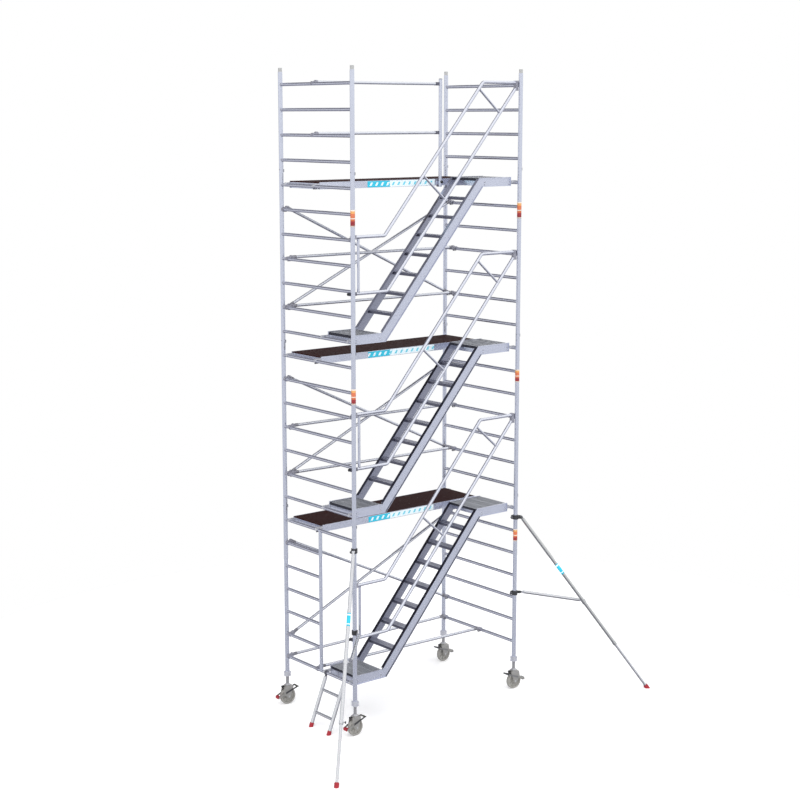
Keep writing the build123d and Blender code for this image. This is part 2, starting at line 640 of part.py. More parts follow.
def add_lower_rail_socket(landing_rung):
    """The right claw's boss carried on down, with a slanting bore for the lower rail."""
    end_x, end_z = lower_rail_end(landing_rung)
    top_z = rung_z(landing_rung + 10) + 9
    boss_low = (X_RIGHT - 63, RAIL_Y - COUPLER_REACH, end_z - 22)
    add_box(boss_low, (X_RIGHT - 27.5, RAIL_Y + COUPLER_REACH, top_z))
    along = Vector(cos(SLOPE), 0, sin(SLOPE))
    end = Vector(end_x, RAIL_Y, end_z)
    add_rod(end - along * 60, end + along * 0.6, RAIL_RADIUS + WELD_GAP, Mode.SUBTRACT)


with BuildPart() as claws:
    for rung in LANDING_RUNGS:
        add_rail_claw(X_LEFT, rung + 4, 1)
        add_rail_claw(X_RIGHT, rung + 10, -1)
        add_lower_rail_socket(rung)
    for line, left_rung, right_rung in diagonal_lines + level_lines:
        start, end = brace_ends(line, left_rung, right_rung)
        add_claw(start, 1)
        add_claw(end, -1)
    for start, end in top_rail_lines:
        add_claw(start, 1)
claws.part.label = "brace_claws"
export_step(claws.part, "parts/brace_claws.step")

# ---- castors ------------------------------------------------------------------------------
WHEEL_RADIUS = 100.0
WHEEL_WIDTH = 48.0
HUB_WIDTH = 56.0
AXLE_RADIUS = 8.0
SLEEVE_RADIUS = 12.0
CHEEK_INNER = 31.0
CHEEK_THICKNESS = 5.0
CROWN_LOW = 213.0
CROWN_HIGH = 221.0
CUP_RADIUS = 50.0
CROWN_HALF = 62.0
KNOB_Z = 228.0
CUP_HIGH = 234.0
FLANGE_LOW = CUP_HIGH + 0.5
FLANGE_HIGH = 247.0
KINGPIN_RADIUS = 10.0
SPINDLE_RADIUS = 19.0
SPINDLE_TOP = 690.0
NUT_LOW = 351.0
NUT_SHOULDER = 371.0
NUT_HIGH = 411.0
BRAKE_PIVOT = (-62.0, 140.0)
BRAKE_STUD_RADIUS = 5.0
# name, post, heading of the wheel in degrees, side of the lock knob
CASTORS = {
    "near_left": (X_LEFT, Y_NEAR, 2.0, -1),
    "far_left": (X_LEFT, Y_FAR, -5.0, -1),
    "near_right": (X_RIGHT, Y_NEAR, 176.0, 1),
    "far_right": (X_RIGHT, Y_FAR, 182.0, 1),
}
CHEEK_FACE = CHEEK_INNER + CHEEK_THICKNESS


def castor_spindle():
    """A hollow threaded spindle on a flange, with the kingpin that the fork turns on."""
    with BuildPart() as spindle:
        add_tube((0, 0, FLANGE_HIGH), (0, 0, SPINDLE_TOP), SPINDLE_RADIUS, 4)
        add_rod((0, 0, FLANGE_LOW), (0, 0, FLANGE_HIGH), 34)
        add_rod((0, 0, FLANGE_HIGH), (0, 0, FLANGE_HIGH + 8), 25)
        add_rod((0, 0, CROWN_LOW - 1), (0, 0, FLANGE_LOW), KINGPIN_RADIUS)
        with BuildSketch(Plane.XY.offset(CROWN_LOW - 9.5)) as lock_nut:
            RegularPolygon(15, 6)
        extrude(lock_nut.sketch, amount=9)
        add_rod((0, 0, FLANGE_HIGH + 1), (0, 0, FLANGE_HIGH + 9), SPINDLE_RADIUS - 4, Mode.SUBTRACT)
    return spindle.part


def castor_nut():
    """A cast nut under the post: a shoulder, a cup round the post and two pairs of ears."""
    with BuildPart() as nut:
        add_rod((0, 0, NUT_LOW), (0, 0, NUT_HIGH), 32)
        for x_side in (-1, 1):
            for ear_low, ear_high in ((NUT_LOW, NUT_LOW + 22), (NUT_LOW + 30, NUT_HIGH)):
                add_box((x_side * 26, -7, ear_low), (x_side * 42, 7, ear_high))
        add_rod((0, 0, NUT_SHOULDER), (0, 0, NUT_HIGH + 1), POST_RADIUS + RUN_GAP, Mode.SUBTRACT)
        add_rod((0, 0, NUT_LOW - 1), (0, 0, NUT_HIGH), SPINDLE_RADIUS + RUN_GAP, Mode.SUBTRACT)
    return nut.part


def castor_fork(knob_side):
    """Two cheeks, the crown, the bearing cup, the axle bolt, the brake pivots and a lock knob."""
    with BuildPart() as fork:
        with BuildSketch(Plane.XZ) as cheek:
            with Locations((6 - CROWN_HALF, CROWN_HIGH - 6), (CROWN_HALF - 6, CROWN_HIGH - 6)):
                Circle(6)
            with Locations((0, WHEEL_RADIUS)):
                Circle(22)
            with Locations(BRAKE_PIVOT):
                Circle(13)
            make_hull()
        for y in (-CHEEK_INNER, CHEEK_FACE):
            extrude(cheek.sketch.moved(Location((0, y, 0))), amount=CHEEK_THICKNESS)
        add_box((-CROWN_HALF, -CHEEK_FACE, CROWN_LOW), (CROWN_HALF, CHEEK_FACE, CROWN_HIGH))
        add_rod((0, 0, CROWN_HIGH), (0, 0, CUP_HIGH), CUP_RADIUS)
        add_rod((0, 0, CROWN_LOW - 1), (0, 0, CUP_HIGH + 1), KINGPIN_RADIUS + RUN_GAP, Mode.SUBTRACT)
        axle_half = CHEEK_FACE + 4
        axle_ends = (0, -axle_half, WHEEL_RADIUS), (0, axle_half, WHEEL_RADIUS)
        add_rod(*axle_ends, AXLE_RADIUS + 0.1, Mode.SUBTRACT)
        pivot_x, pivot_z = BRAKE_PIVOT
        for side in (-1, 1):
            stud_root = side * CHEEK_FACE
            stud_tip = side * (CHEEK_FACE + 9)
            add_rod((pivot_x, stud_root, pivot_z), (pivot_x, stud_tip, pivot_z), BRAKE_STUD_RADIUS)
        add_rod((knob_side * 44, 0, KNOB_Z), (knob_side * 53, 0, KNOB_Z), 5)
        add_rod((knob_side * 53, 0, KNOB_Z), (knob_side * 83, 0, KNOB_Z), 13)
    with BuildPart() as axle:
        add_rod(*axle_ends, AXLE_RADIUS)
        for y in (-axle_half, axle_half):
            with BuildSketch(Plane.XZ.offset(-y)) as head:
                with Locations((0, WHEEL_RADIUS)):
                    RegularPolygon(13, 6)
            extrude(head.sketch, amount=4 - WELD_GAP, both=True)
        sleeve_half = CHEEK_INNER - WELD_GAP
        add_rod((0, -sleeve_half, WHEEL_RADIUS), (0, sleeve_half, WHEEL_RADIUS), SLEEVE_RADIUS)
    return Compound(children=[fork.part, axle.part])


def castor_wheel():
    """A solid wheel: rounded tread, thin web, thick hub, bored for its sleeve."""
    half = WHEEL_WIDTH / 2
    hub = HUB_WIDTH / 2
    bore = SLEEVE_RADIUS + RUN_GAP
    with BuildPart() as wheel:
        with BuildSketch(Plane.XY) as section:
            with BuildLine():
                Polyline([
                    (bore, -hub), (30, -hub), (34, -9), (76, -9), (80, -half + 3), (84, -half),
                    (94, -half), (WHEEL_RADIUS, -half + 9), (WHEEL_RADIUS, half - 9), (94, half),
                    (84, half), (80, half - 3), (76, 9), (34, 9), (30, hub), (bore, hub),
                ], close=True)
            make_face()
        revolve(section.sketch, axis=Axis.Y)
    return wheel.part.moved(Location((0, 0, WHEEL_RADIUS)))


def castor_brake():
    """A rocker outside the cheeks: a pedal at one end, a release bar at the other."""
    pad_arm = (-138.0, 106.0, 10)
    bar_arm = (118.0, 205.0, 8)
    with BuildPart() as brake:
        arm_y = CHEEK_FACE + 1
        pivot_x, pivot_z = BRAKE_PIVOT
        for tip_x, tip_z, tip_radius in (pad_arm, bar_arm):
            with BuildSketch(Plane.XZ) as arm:
                with Locations(BRAKE_PIVOT):
                    Circle(12)
                with Locations((tip_x, tip_z)):
                    Circle(tip_radius)
                make_hull()
            for y in (-arm_y, arm_y + 4):
                extrude(arm.sketch.moved(Location((0, y, 0))), amount=4)
        pivot_bore = (pivot_x, -60, pivot_z), (pivot_x, 60, pivot_z)
        add_rod(*pivot_bore, BRAKE_STUD_RADIUS + RUN_GAP, Mode.SUBTRACT)
        half = arm_y + 4
        add_rod((-138, -half, 106), (-138, half, 106), 6)
        add_box((-152, -30, 90), (-124, 30, 122))
        add_box((108, -half - 6, 200), (128, half + 6, 210))
    return brake.part


forks = {side: castor_fork(side) for side in (-1, 1)}
spindle_shape = castor_spindle()
nut_shape = castor_nut()
wheel_shape = castor_wheel()
brake_shape = castor_brake()
EAR_HEADING = -39.0


def turned_plane(x, y, heading):
    """A floor plane on a post's line, turned about the post."""
    forward = (cos(radians(heading)), sin(radians(heading)), 0)
    return Plane(origin=(x, y, 0), x_dir=forward, z_dir=(0, 0, 1))


for name, (x, y, heading, knob_side) in CASTORS.items():
    turned = turned_plane(x, y, heading)
    upright = turned_plane(x, y, EAR_HEADING)
    pieces = {
        "spindle": (spindle_shape, upright), "nut": (nut_shape, upright),
        "fork": (forks[knob_side], turned), "wheel": (wheel_shape, turned),
        "brake": (brake_shape, turned),
    }
    for piece, (shape, plane) in pieces.items():
        with BuildPart(plane) as castor:
            add(shape)
        castor.part.label = f"castor_{piece}_{name}"
        export_step(castor.part, f"parts/castor_{piece}_{name}.step")

# ---- stabilisers --------------------------------------------------------------------------
# name, post, bearing in degrees, distance from the post to the foot and to the arm's tie
STABILISERS = {
    "left": (X_LEFT, Y_NEAR, 224.6, 1500.0, 760.0),
    "right": (X_RIGHT, Y_NEAR, 320.5, 1677.0, 860.0),
}
LEG_PIVOT_H = 72.0
LEG_PIVOT_Z = 2196.0
ARM_PIVOT_Z = 1234.0
LEG_RADIUS = 21.0
LEG_WALL = 2.9
EYE_RADIUS = 18.0
INNER_RADIUS = 17.0
TELESCOPE_Z = 600.0         # height of the collar at the end of the outer tube
INNER_OVERLAP = 620.0
FOOT_RADIUS = 27.0
FOOT_LENGTH = 48.0
FOOT_SOLE = 28.0            # rubber under the end of the inner tube
ARM_RADIUS = 20.0
ARM_SIDE = 57.0             # the arm lies this far beside the leg's plane
CLAMP_OUTER = 36.0
BOLT_RADIUS = 6.0
sideways = Vector(0, 1, 0)

for name, (post_x, post_y, bearing, reach, tie_reach) in STABILISERS.items():
    out = (cos(radians(bearing)), sin(radians(bearing)), 0)
    stand = Plane(origin=(post_x, post_y, 0), x_dir=out, z_dir=(0, 0, 1))
    pivot = Vector(LEG_PIVOT_H, 0, LEG_PIVOT_Z)
    foot = Vector(reach, 0, 0)
    leg_length = (foot - pivot).length
    along = (foot - pivot).normalized()
    telescope = leg_length * (LEG_PIVOT_Z - TELESCOPE_Z) / LEG_PIVOT_Z
    tie = pivot + along * leg_length * (tie_reach - LEG_PIVOT_H) / (reach - LEG_PIVOT_H)
    tube_end = pivot + along * telescope

    with BuildPart() as clamps:
        for z, lug_low, lug_high in ((LEG_PIVOT_Z, -31, 31), (ARM_PIVOT_Z, 22, 34)):
            add_rod((0, 0, z - 26), (0, 0, z + 26), CLAMP_OUTER)
            add_box((-54, -10, z - 22), (-20, 10, z + 22))
            add_box((0, lug_low, z - 16), (LEG_PIVOT_H, lug_high, z + 16))
            add_rod((LEG_PIVOT_H, lug_low, z), (LEG_PIVOT_H, lug_high, z), 16)
            add_rod((0, 0, z - 40), (0, 0, z + 40), POST_RADIUS + RUN_GAP, Mode.SUBTRACT)
        slot_low = (LEG_PIVOT_H - 24, -21, LEG_PIVOT_Z - 40)
        add_box(slot_low, (LEG_PIVOT_H + 30, 21, LEG_PIVOT_Z + 40), Mode.SUBTRACT)
        add_rod((LEG_PIVOT_H, -36, LEG_PIVOT_Z), (LEG_PIVOT_H, 36, LEG_PIVOT_Z), BOLT_RADIUS)
        add_rod((LEG_PIVOT_H, 20, ARM_PIVOT_Z), (LEG_PIVOT_H, 48, ARM_PIVOT_Z), BOLT_RADIUS)
    with BuildPart(stand) as placed_clamps:
        add(clamps.part)
    placed_clamps.part.label = f"stabiliser_clamps_{name}"
    export_step(placed_clamps.part, f"parts/stabiliser_clamps_{name}.step")

    with BuildPart() as leg:
        add_rod(pivot - sideways * EYE_RADIUS, pivot + sideways * EYE_RADIUS, EYE_RADIUS)
        add_rod(pivot, pivot + along * 60, EYE_RADIUS - 2)
        bore_ends = pivot - sideways * 30, pivot + sideways * 30
        add_rod(*bore_ends, BOLT_RADIUS + RUN_GAP, Mode.SUBTRACT)
    with BuildPart() as leg_tube:
        add_tube(pivot + along * 30, tube_end, LEG_RADIUS, LEG_WALL)
        collar_radius = LEG_RADIUS + 4
        collar_wall = collar_radius - INNER_RADIUS - RUN_GAP
        add_tube(tube_end + along * WELD_GAP, tube_end + along * 40, collar_radius, collar_wall)
        knob = tube_end + along * 20
        add_rod(knob + sideways * 20, knob + sideways * 48, 5)
    with BuildPart() as tie_clip:
        add_tube(tie - along * 22, tie + along * 22, LEG_RADIUS + 6, 5.9)
        add_rod(tie + sideways * 24, tie + sideways * 35, 14)
    with BuildPart(stand) as placed_leg:
        add(Compound(children=[leg.part, leg_tube.part, tie_clip.part]))
    placed_leg.part.label = f"stabiliser_leg_{name}"
    export_step(placed_leg.part, f"parts/stabiliser_leg_{name}.step")

    with BuildPart() as inner:
        sole = foot - along * FOOT_SOLE
        foot_top = foot - along * FOOT_LENGTH
        add_rod(foot_top, foot + along * 40, FOOT_RADIUS)
        add_rod(foot_top - along, sole + along * 0.1, INNER_RADIUS + WELD_GAP, Mode.SUBTRACT)
        add_tube(tube_end - along * INNER_OVERLAP, sole, INNER_RADIUS, 2.5)
        add_box(foot - Vector(200, 200, 200), foot + Vector(200, 200, 0), Mode.SUBTRACT)
    with BuildPart(stand) as placed_inner:
        add(inner.part)
    placed_inner.part.label = f"stabiliser_inner_leg_{name}"
    export_step(placed_inner.part, f"parts/stabiliser_inner_leg_{name}.step")

    arm_start = Vector(LEG_PIVOT_H, ARM_SIDE, ARM_PIVOT_Z)
    arm_end = Vector(tie.X, ARM_SIDE, tie.Z)
    arm_dir = (arm_end - arm_start).normalized()
    eye_low = ARM_SIDE - ARM_RADIUS - 1
    with BuildPart() as arm:
        add_rod(arm_start + arm_dir * 30, arm_end - arm_dir * 40, ARM_RADIUS)
        for centre in (arm_start, arm_end):
            add_rod((centre.X, eye_low, centre.Z), (centre.X, eye_low + 7, centre.Z), 15)
        for centre, direction in ((arm_start, arm_dir), (arm_end, arm_dir * -1)):
            tongue = Plane(
                origin=(centre.X + direction.X * 25, eye_low + 3.5, centre.Z + direction.Z * 25),
                x_dir=direction, z_dir=(0, 1, 0),
            )
            with BuildSketch(tongue) as plate:
                Rectangle(54, 24)
            extrude(plate.sketch, amount=3.5, both=True)
            start = (centre.X, eye_low - 5, centre.Z)
            add_rod(start, (centre.X, eye_low + 20, centre.Z), BOLT_RADIUS + RUN_GAP, Mode.SUBTRACT)
    with BuildPart(stand) as placed_arm:
        add(arm.part)
    placed_arm.part.label = f"stabiliser_arm_{name}"
    export_step(placed_arm.part, f"parts/stabiliser_arm_{name}.step")

# ---- access ladder ------------------------------------------------------------------------
LADDER_YS = (TOWER_Y - 130.0, TOWER_Y - 474.0)
LADDER_TILT = 21.4          # from upright, feet outwards
STILE_RADIUS = 21.0
LADDER_RUNG_RADIUS = 17.0
LADDER_HINGE = Vector(X_LEFT, 0, rung_z(1))
LADDER_RUNG_DROPS = (198.0, 470.0)
LADDER_FOOT_RADIUS = 25.0
LADDER_FOOT_LENGTH = 48.0
HOOK_ARM = 44.0
down = Vector(-sin(radians(LADDER_TILT)), 0, -cos(radians(LADDER_TILT)))
foot_distance = rung_z(1) / cos(radians(LADDER_TILT))

with BuildPart() as ladder:
    for y in LADDER_YS:
        top = LADDER_HINGE + Vector(0, y, 0)
        add_tube(top + down * HOOK_ARM, top + down * (foot_distance - 30), STILE_RADIUS, 2)
    inner_ys = (LADDER_YS[0] - STILE_RADIUS - WELD_GAP, LADDER_YS[1] + STILE_RADIUS + WELD_GAP)
    for drop in LADDER_RUNG_DROPS:
        spot = LADDER_HINGE + down * drop
        left_end = (spot.X, inner_ys[0], spot.Z)
        right_end = (spot.X, inner_ys[1], spot.Z)
        add_tube(left_end, right_end, LADDER_RUNG_RADIUS, 2)
ladder_frame = ladder.part


def ladder_foot(y):
    """A rubber cap over the stile's end, cut off level with the floor."""
    end = LADDER_HINGE + Vector(0, y, 0) + down * foot_distance
    with BuildPart() as cap:
        cap_top = end - down * LADDER_FOOT_LENGTH
        add_rod(cap_top, end + down * 30, LADDER_FOOT_RADIUS)
        add_rod(cap_top - down, end - down * 29.9, STILE_RADIUS + WELD_GAP, Mode.SUBTRACT)
        add_box((end.X - 99, y - 99, -99), (end.X + 99, y + 99, 0), Mode.SUBTRACT)
    return cap.part


def ladder_hook(y):
    """A half ring over the rung and the block that holds the stile."""
    hinge = LADDER_HINGE + Vector(0, y, 0)
    plane = Plane(origin=hinge, x_dir=(1, 0, 0), z_dir=(0, -1, 0))
    with BuildPart() as hook:
        with BuildSketch(plane) as ring:
            Circle(28)
            Circle(RUNG_RADIUS + RUN_GAP, mode=Mode.SUBTRACT)
            with Locations((18, -16)):
                Rectangle(36, 32, mode=Mode.SUBTRACT)
        extrude(ring.sketch, amount=12, both=True)
        add_rod(hinge + down * 24, hinge + down * (HOOK_ARM - WELD_GAP), 12)
        across = Vector(0, 20, 0)
        add_rod(hinge - across, hinge + across, RUNG_RADIUS + RUN_GAP, Mode.SUBTRACT)
    return hook.part


ladder_pieces = [ladder_frame]
for y in LADDER_YS:
    ladder_pieces.append(ladder_foot(y))
    ladder_pieces.append(ladder_hook(y))
with BuildPart() as access_ladder:
    add(Compound(children=ladder_pieces))
access_ladder.part.label = "access_ladder"
export_step(access_ladder.part, "parts/access_ladder.step")
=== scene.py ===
import math

import bmesh
import bpy
from mathutils import Matrix, Vector


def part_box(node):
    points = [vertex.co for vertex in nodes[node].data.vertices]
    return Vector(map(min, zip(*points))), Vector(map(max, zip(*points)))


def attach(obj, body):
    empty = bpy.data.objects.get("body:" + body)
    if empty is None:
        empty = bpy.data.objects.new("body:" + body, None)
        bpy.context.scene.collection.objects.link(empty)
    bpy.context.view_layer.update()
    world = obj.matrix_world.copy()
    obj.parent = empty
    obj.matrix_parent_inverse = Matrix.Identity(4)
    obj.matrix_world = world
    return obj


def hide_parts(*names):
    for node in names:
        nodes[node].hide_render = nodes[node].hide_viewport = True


# Looks of the mobile stair tower: metres, +Z up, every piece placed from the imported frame.

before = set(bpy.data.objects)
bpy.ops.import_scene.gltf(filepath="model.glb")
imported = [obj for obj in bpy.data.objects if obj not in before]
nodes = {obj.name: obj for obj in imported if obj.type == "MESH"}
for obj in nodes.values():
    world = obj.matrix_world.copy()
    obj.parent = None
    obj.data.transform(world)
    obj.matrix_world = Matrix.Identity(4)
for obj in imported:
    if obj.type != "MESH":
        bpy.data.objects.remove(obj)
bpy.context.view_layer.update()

# ---- places read from the frame
POST_RADIUS = 0.0254
RUNG_RADIUS = 0.019
RUNG_PITCH = 0.283
FIRST_RUNG = 0.606
left_low, left_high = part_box("top_frame_left")
right_low, right_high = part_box("top_frame_right")
X_LEFT = (left_low.x + left_high.x) / 2
X_RIGHT = (right_low.x + right_high.x) / 2
Y_NEAR = left_low.y + POST_RADIUS
Y_FAR = left_high.y - POST_RADIUS
X_MID = (X_LEFT + X_RIGHT) / 2
Y_MID = (Y_NEAR + Y_FAR) / 2
MID_POST_Y = Y_MID - 0.026
MID_POST_RADIUS = 0.021
END_X = {"left": X_LEFT, "right": X_RIGHT}
POST_XY = {
    "near_left": (X_LEFT, Y_NEAR), "far_left": (X_LEFT, Y_FAR),
    "near_right": (X_RIGHT, Y_NEAR), "far_right": (X_RIGHT, Y_FAR),
}
HEADING = {"near_left": 2.0, "far_left": -5.0, "near_right": 176.0, "far_right": 182.0}
STABILISER_POST = {"left": (X_LEFT, Y_NEAR), "right": (X_RIGHT, Y_NEAR)}
STABILISER_BEARING = {"left": 224.6, "right": 320.5}
STABILISER_REACH = {"left": 1.500, "right": 1.677}


def rung_z(number):
    return FIRST_RUNG + (number - 1) * RUNG_PITCH


# ---- materials
class Nodes:
    """The nodes of a tree, with short calls that add one and give what it puts out."""

    def __init__(self, tree, place):
        self.tree = tree
        self.tree.nodes.clear()
        self.place = self.add("TexCoord").outputs[place]

    def add(self, kind):
        return self.tree.nodes.new("ShaderNode" + kind)

    def feed(self, socket, value):
        if hasattr(value, "links"):
            self.tree.links.new(value, socket)
        elif hasattr(value, "__len__") and len(value) == 3 and socket.type == "RGBA":
            socket.default_value = (*value, 1.0)
        else:
            socket.default_value = value

    def times(self, first, second):
        return self.math("MULTIPLY", first, second)

    def above(self, value, limit):
        return self.math("GREATER_THAN", value, limit)

    def below(self, value, limit):
        return self.math("LESS_THAN", value, limit)

    def math(self, operation, first, second=0.0, third=0.0):
        node = self.add("Math")
        node.operation = operation
        for socket, value in zip(node.inputs, (first, second, third)):
            self.feed(socket, value)
        return node.outputs[0]

    def vector(self, operation, first, second=(0, 0, 0)):
        node = self.add("VectorMath")
        node.operation = operation
        self.feed(node.inputs[0], first)
        self.feed(node.inputs[1], second)
        return node.outputs["Value" if operation == "DOT_PRODUCT" else "Vector"]

    def axes(self, vector):
        node = self.add("SeparateXYZ")
        self.feed(node.inputs[0], vector)
        return node.outputs

    def local(self, origin, heading):
        """Coordinates about a point on the floor, with X along a heading."""
        away = self.vector("SUBTRACT", self.place, origin)
        turn = self.add("VectorRotate")
        turn.rotation_type = "Z_AXIS"
        self.feed(turn.inputs["Vector"], away)
        turn.inputs["Angle"].default_value = -math.radians(heading)
        return self.axes(turn.outputs[0])

    def distance(self, first, second):
        """Length of the vector with these two parts."""
        square = self.math("MULTIPLY_ADD", first, first, self.times(second, second))
        return self.math("SQRT", square)

    def along(self, origin, direction):
        """How far each point is from an origin along a direction."""
        return self.vector("DOT_PRODUCT", self.vector("SUBTRACT", self.place, origin), direction)

    def between(self, value, low, high):
        return self.math("COMPARE", value, (low + high) / 2, (high - low) / 2)

    def mapped(self, value, style, end, low, high):
        node = self.add("MapRange")
        node.interpolation_type = style
        self.feed(node.inputs["Value"], value)
        node.inputs[f"{end} Min"].default_value = low
        node.inputs[f"{end} Max"].default_value = high
        return node.outputs[0]

    def rise(self, value, low, high):
        """0 below low, 1 above high, smooth between."""
        return self.mapped(value, "SMOOTHSTEP", "From", low, high)

    def span(self, value, low, high):
        """Spread a 0 to 1 value over low to high."""
        return self.mapped(value, "LINEAR", "To", low, high)

    def noise(self, scale, detail=3.0, stretch=(1, 1, 1), roughness=0.55):
        node = self.add("TexNoise")
        self.feed(node.inputs["Vector"], self.vector("MULTIPLY", self.place, stretch))
        node.inputs["Scale"].default_value = scale
        node.inputs["Detail"].default_value = detail
        node.inputs["Roughness"].default_value = roughness
        return node.outputs[0]

    def cells(self, scale):
        node = self.add("TexVoronoi")
        self.feed(node.inputs["Vector"], self.place)
        node.inputs["Scale"].default_value = scale
        return node.outputs["Distance"]

    def blend(self, factor, first, second):
        node = self.add("Mix")
        node.data_type = "RGBA"
        self.feed(node.inputs["Factor"], factor)
        self.feed(node.inputs[6], first)
        self.feed(node.inputs[7], second)
        return node.outputs[2]

    def pick(self, factor, first, second):
        """Mix two numbers."""
        node = self.add("Mix")
        self.feed(node.inputs[0], factor)
        self.feed(node.inputs[2], first)
        self.feed(node.inputs[3], second)
        return node.outputs[0]


class Shader(Nodes):
    """A node material round one Principled BSDF."""

    def __init__(self, name, metallic=0.0, **sockets):
        self.material = bpy.data.materials.new(name)
        self.material.use_nodes = True
        super().__init__(self.material.node_tree, "Object")
        self.bsdf = self.add("BsdfPrincipled")
        self.feed(self.add("OutputMaterial").inputs[0], self.bsdf.outputs[0])
        self.bsdf.inputs["Metallic"].default_value = metallic
        for socket, value in sockets.items():
            self.bsdf.inputs[socket.replace("_", " ")].default_value = value
        self.height = None

    def facing(self):
        """The way that each surface faces."""
        return self.add("TexCoord").outputs["Normal"]

    def fed(self, socket):
        """What feeds a socket of the surface now."""
        return self.bsdf.inputs[socket].links[0].from_socket

    def colour(self, value):
        self.feed(self.bsdf.inputs["Base Color"], value)

    def rough(self, value):
        self.feed(self.bsdf.inputs["Roughness"], value)

    def metal_except(self, mask, metallic):
        """This metallic value, and none where the mask is."""
        bare = self.math("SUBTRACT", 1.0, mask)
        self.feed(self.bsdf.inputs["Metallic"], self.times(bare, metallic))

    def bump(self, height, distance):
        node = self.add("Bump")
        node.inputs["Distance"].default_value = distance
        self.feed(node.inputs["Height"], height)
        if self.height is not None:
            self.feed(node.inputs["Normal"], self.height)
        self.height = node.outputs[0]
        self.feed(self.bsdf.inputs["Normal"], self.height)


LINE_SCALE = 900.0
LINE_DEPTH = 0.00012
LINE_SHARE = 0.35  # of the tone; the rest is cloud
MARK_STRENGTH = 0.08
MARK_TONE = (0.42, 0.42, 0.45)
SATIN = (0.20, 0.36)


def brushed(shader, lines, light, dark, roughness, patch=None):
    """Fine lines, a cloudy tone and handling marks; a patch is a (factor, colour) pair."""
    cloud = shader.noise(2.3, 4.0)
    marks = shader.rise(shader.noise(26.0, 6.0, roughness=0.7), 0.56, 0.74)
    soft = shader.times(cloud, 1 - LINE_SHARE)
    tone = shader.math("MULTIPLY_ADD", lines, LINE_SHARE, soft)
    clean = shader.blend(tone, dark, light)
    if patch is not None:
        clean = shader.blend(patch[0], clean, patch[1])
    shader.colour(shader.blend(shader.times(marks, MARK_STRENGTH), clean, MARK_TONE))
    worn = shader.math("MULTIPLY_ADD", marks, 0.5, shader.times(lines, 0.5))
    shader.rough(shader.span(worn, *roughness))
    shader.bump(lines, LINE_DEPTH)


def aluminium(name, light, dark, grain, roughness=SATIN, metallic=0.9):
    """Drawn or extruded aluminium, with its lines along the grain."""
    shader = Shader(name, metallic=metallic)
    brushed(shader, shader.noise(LINE_SCALE, 2.0, stretch=grain), light, dark, roughness)
    return shader


TUBE_LIGHT = (0.80, 0.83, 0.93)
TUBE_DARK = (0.70, 0.73, 0.84)
# painted shade on the rungs
RUNG_SHADE_TONE = (0.60, 0.60, 0.68)


def frame_aluminium(name, has_mid_post):
    """End frames: posts drawn along Z, rungs along Y with painted shade that makes them darker."""
    shader = Shader(name, metallic=0.9)
    _, py, _ = shader.axes(shader.place)
    off_post = shader.math("ABSOLUTE", shader.math("SUBTRACT", py, Y_NEAR))
    for post_y in [Y_FAR, MID_POST_Y] if has_mid_post else [Y_FAR]:
        away = shader.math("ABSOLUTE", shader.math("SUBTRACT", py, post_y))
        off_post = shader.math("MINIMUM", off_post, away)
    on_rung = shader.above(off_post, POST_RADIUS + 0.0008)
    post_lines = shader.noise(LINE_SCALE, 2.0, stretch=(1, 1, 0.01))
    rung_lines = shader.noise(LINE_SCALE, 2.0, stretch=(1, 0.01, 1))
    lines = shader.pick(on_rung, post_lines, rung_lines)
    # the rungs take half of a darker tone: painted shade
    patch = shader.times(on_rung, 0.5), RUNG_SHADE_TONE
    brushed(shader, lines, TUBE_LIGHT, TUBE_DARK, SATIN, patch)
    return shader


def cast_metal(name, light, dark, metallic=0.75, roughness=(0.42, 0.62), grit=420.0):
    """As-cast or blasted metal: grainy skin with darker hollows."""
    shader = Shader(name, metallic=metallic)
    grain = shader.noise(grit, 3.0)
    cloud = shader.noise(17.0, 4.0)
    tone = shader.math("MULTIPLY_ADD", grain, 0.5, shader.times(cloud, 0.5))
    shader.colour(shader.blend(shader.rise(tone, 0.3, 0.7), dark, light))
    shader.rough(shader.span(grain, *roughness))
    shader.bump(grain, 0.0004)
    return shader


def zinc(shader, light=(0.62, 0.61, 0.58), dark=(0.43, 0.42, 0.40)):
    """Zinc plating: soft crystal patches of two greys."""
    patches = shader.cells(55.0)
    cloud = shader.times(shader.noise(30.0, 4.0), 0.5)
    return shader.blend(shader.math("MULTIPLY_ADD", patches, 0.6, cloud), dark, light)


def paint(node, shader):
    mesh = nodes[node].data
    mesh.materials.clear()
    mesh.materials.append(shader.material)


def paint_all(start, shader):
    for node in nodes:
        if node.startswith(start):
            paint(node, shader)


for level in ("base", "second", "third", "top"):
    for side in END_X:
        has_mid_post = level == "base" and side == "left"
        paint(f"{level}_frame_{side}", frame_aluminium(f"{level}_{side}_tube", has_mid_post))

brace_metal = aluminium("brace_tube", (0.84, 0.86, 0.92), (0.73, 0.75, 0.82), (0.01, 1, 1))
rail_metal = aluminium("rail_tube", (0.83, 0.85, 0.93), (0.72, 0.74, 0.84), (0.02, 1, 0.02))
for node in ("diagonal_braces", "guardrails"):
    paint(node, brace_metal)
paint_all("stair_handrail", rail_metal)
paint("guard_post", aluminium("guard_post_tube", TUBE_LIGHT, TUBE_DARK, (1, 1, 0.01)))
paint("frame_spigots", aluminium("spigot_tube", (0.72, 0.72, 0.70), (0.60, 0.60, 0.59), (1, 1, 0.01)))
LEG_TONES = ((0.75, 0.76, 0.79), (0.66, 0.67, 0.70))
LEG_GRAIN = (0.05, 0.05, 0.02)
leg_metal = aluminium("stabiliser_tube", *LEG_TONES, LEG_GRAIN)
paint("stabiliser_leg_left", leg_metal)
# the right leg gets a darker copy of the leg metal: painted shade
leg_metal_painted_shade = aluminium("stabiliser_tube_right_painted_shade", (0.62, 0.63, 0.63), (0.53, 0.54, 0.54), LEG_GRAIN)
paint("stabiliser_leg_right", leg_metal_painted_shade)
paint_all("stabiliser_arm", leg_metal)
beam_metal = aluminium("platform_beam", (0.76, 0.79, 0.90), (0.66, 0.69, 0.80), (0.01, 1, 1), metallic=0.8)
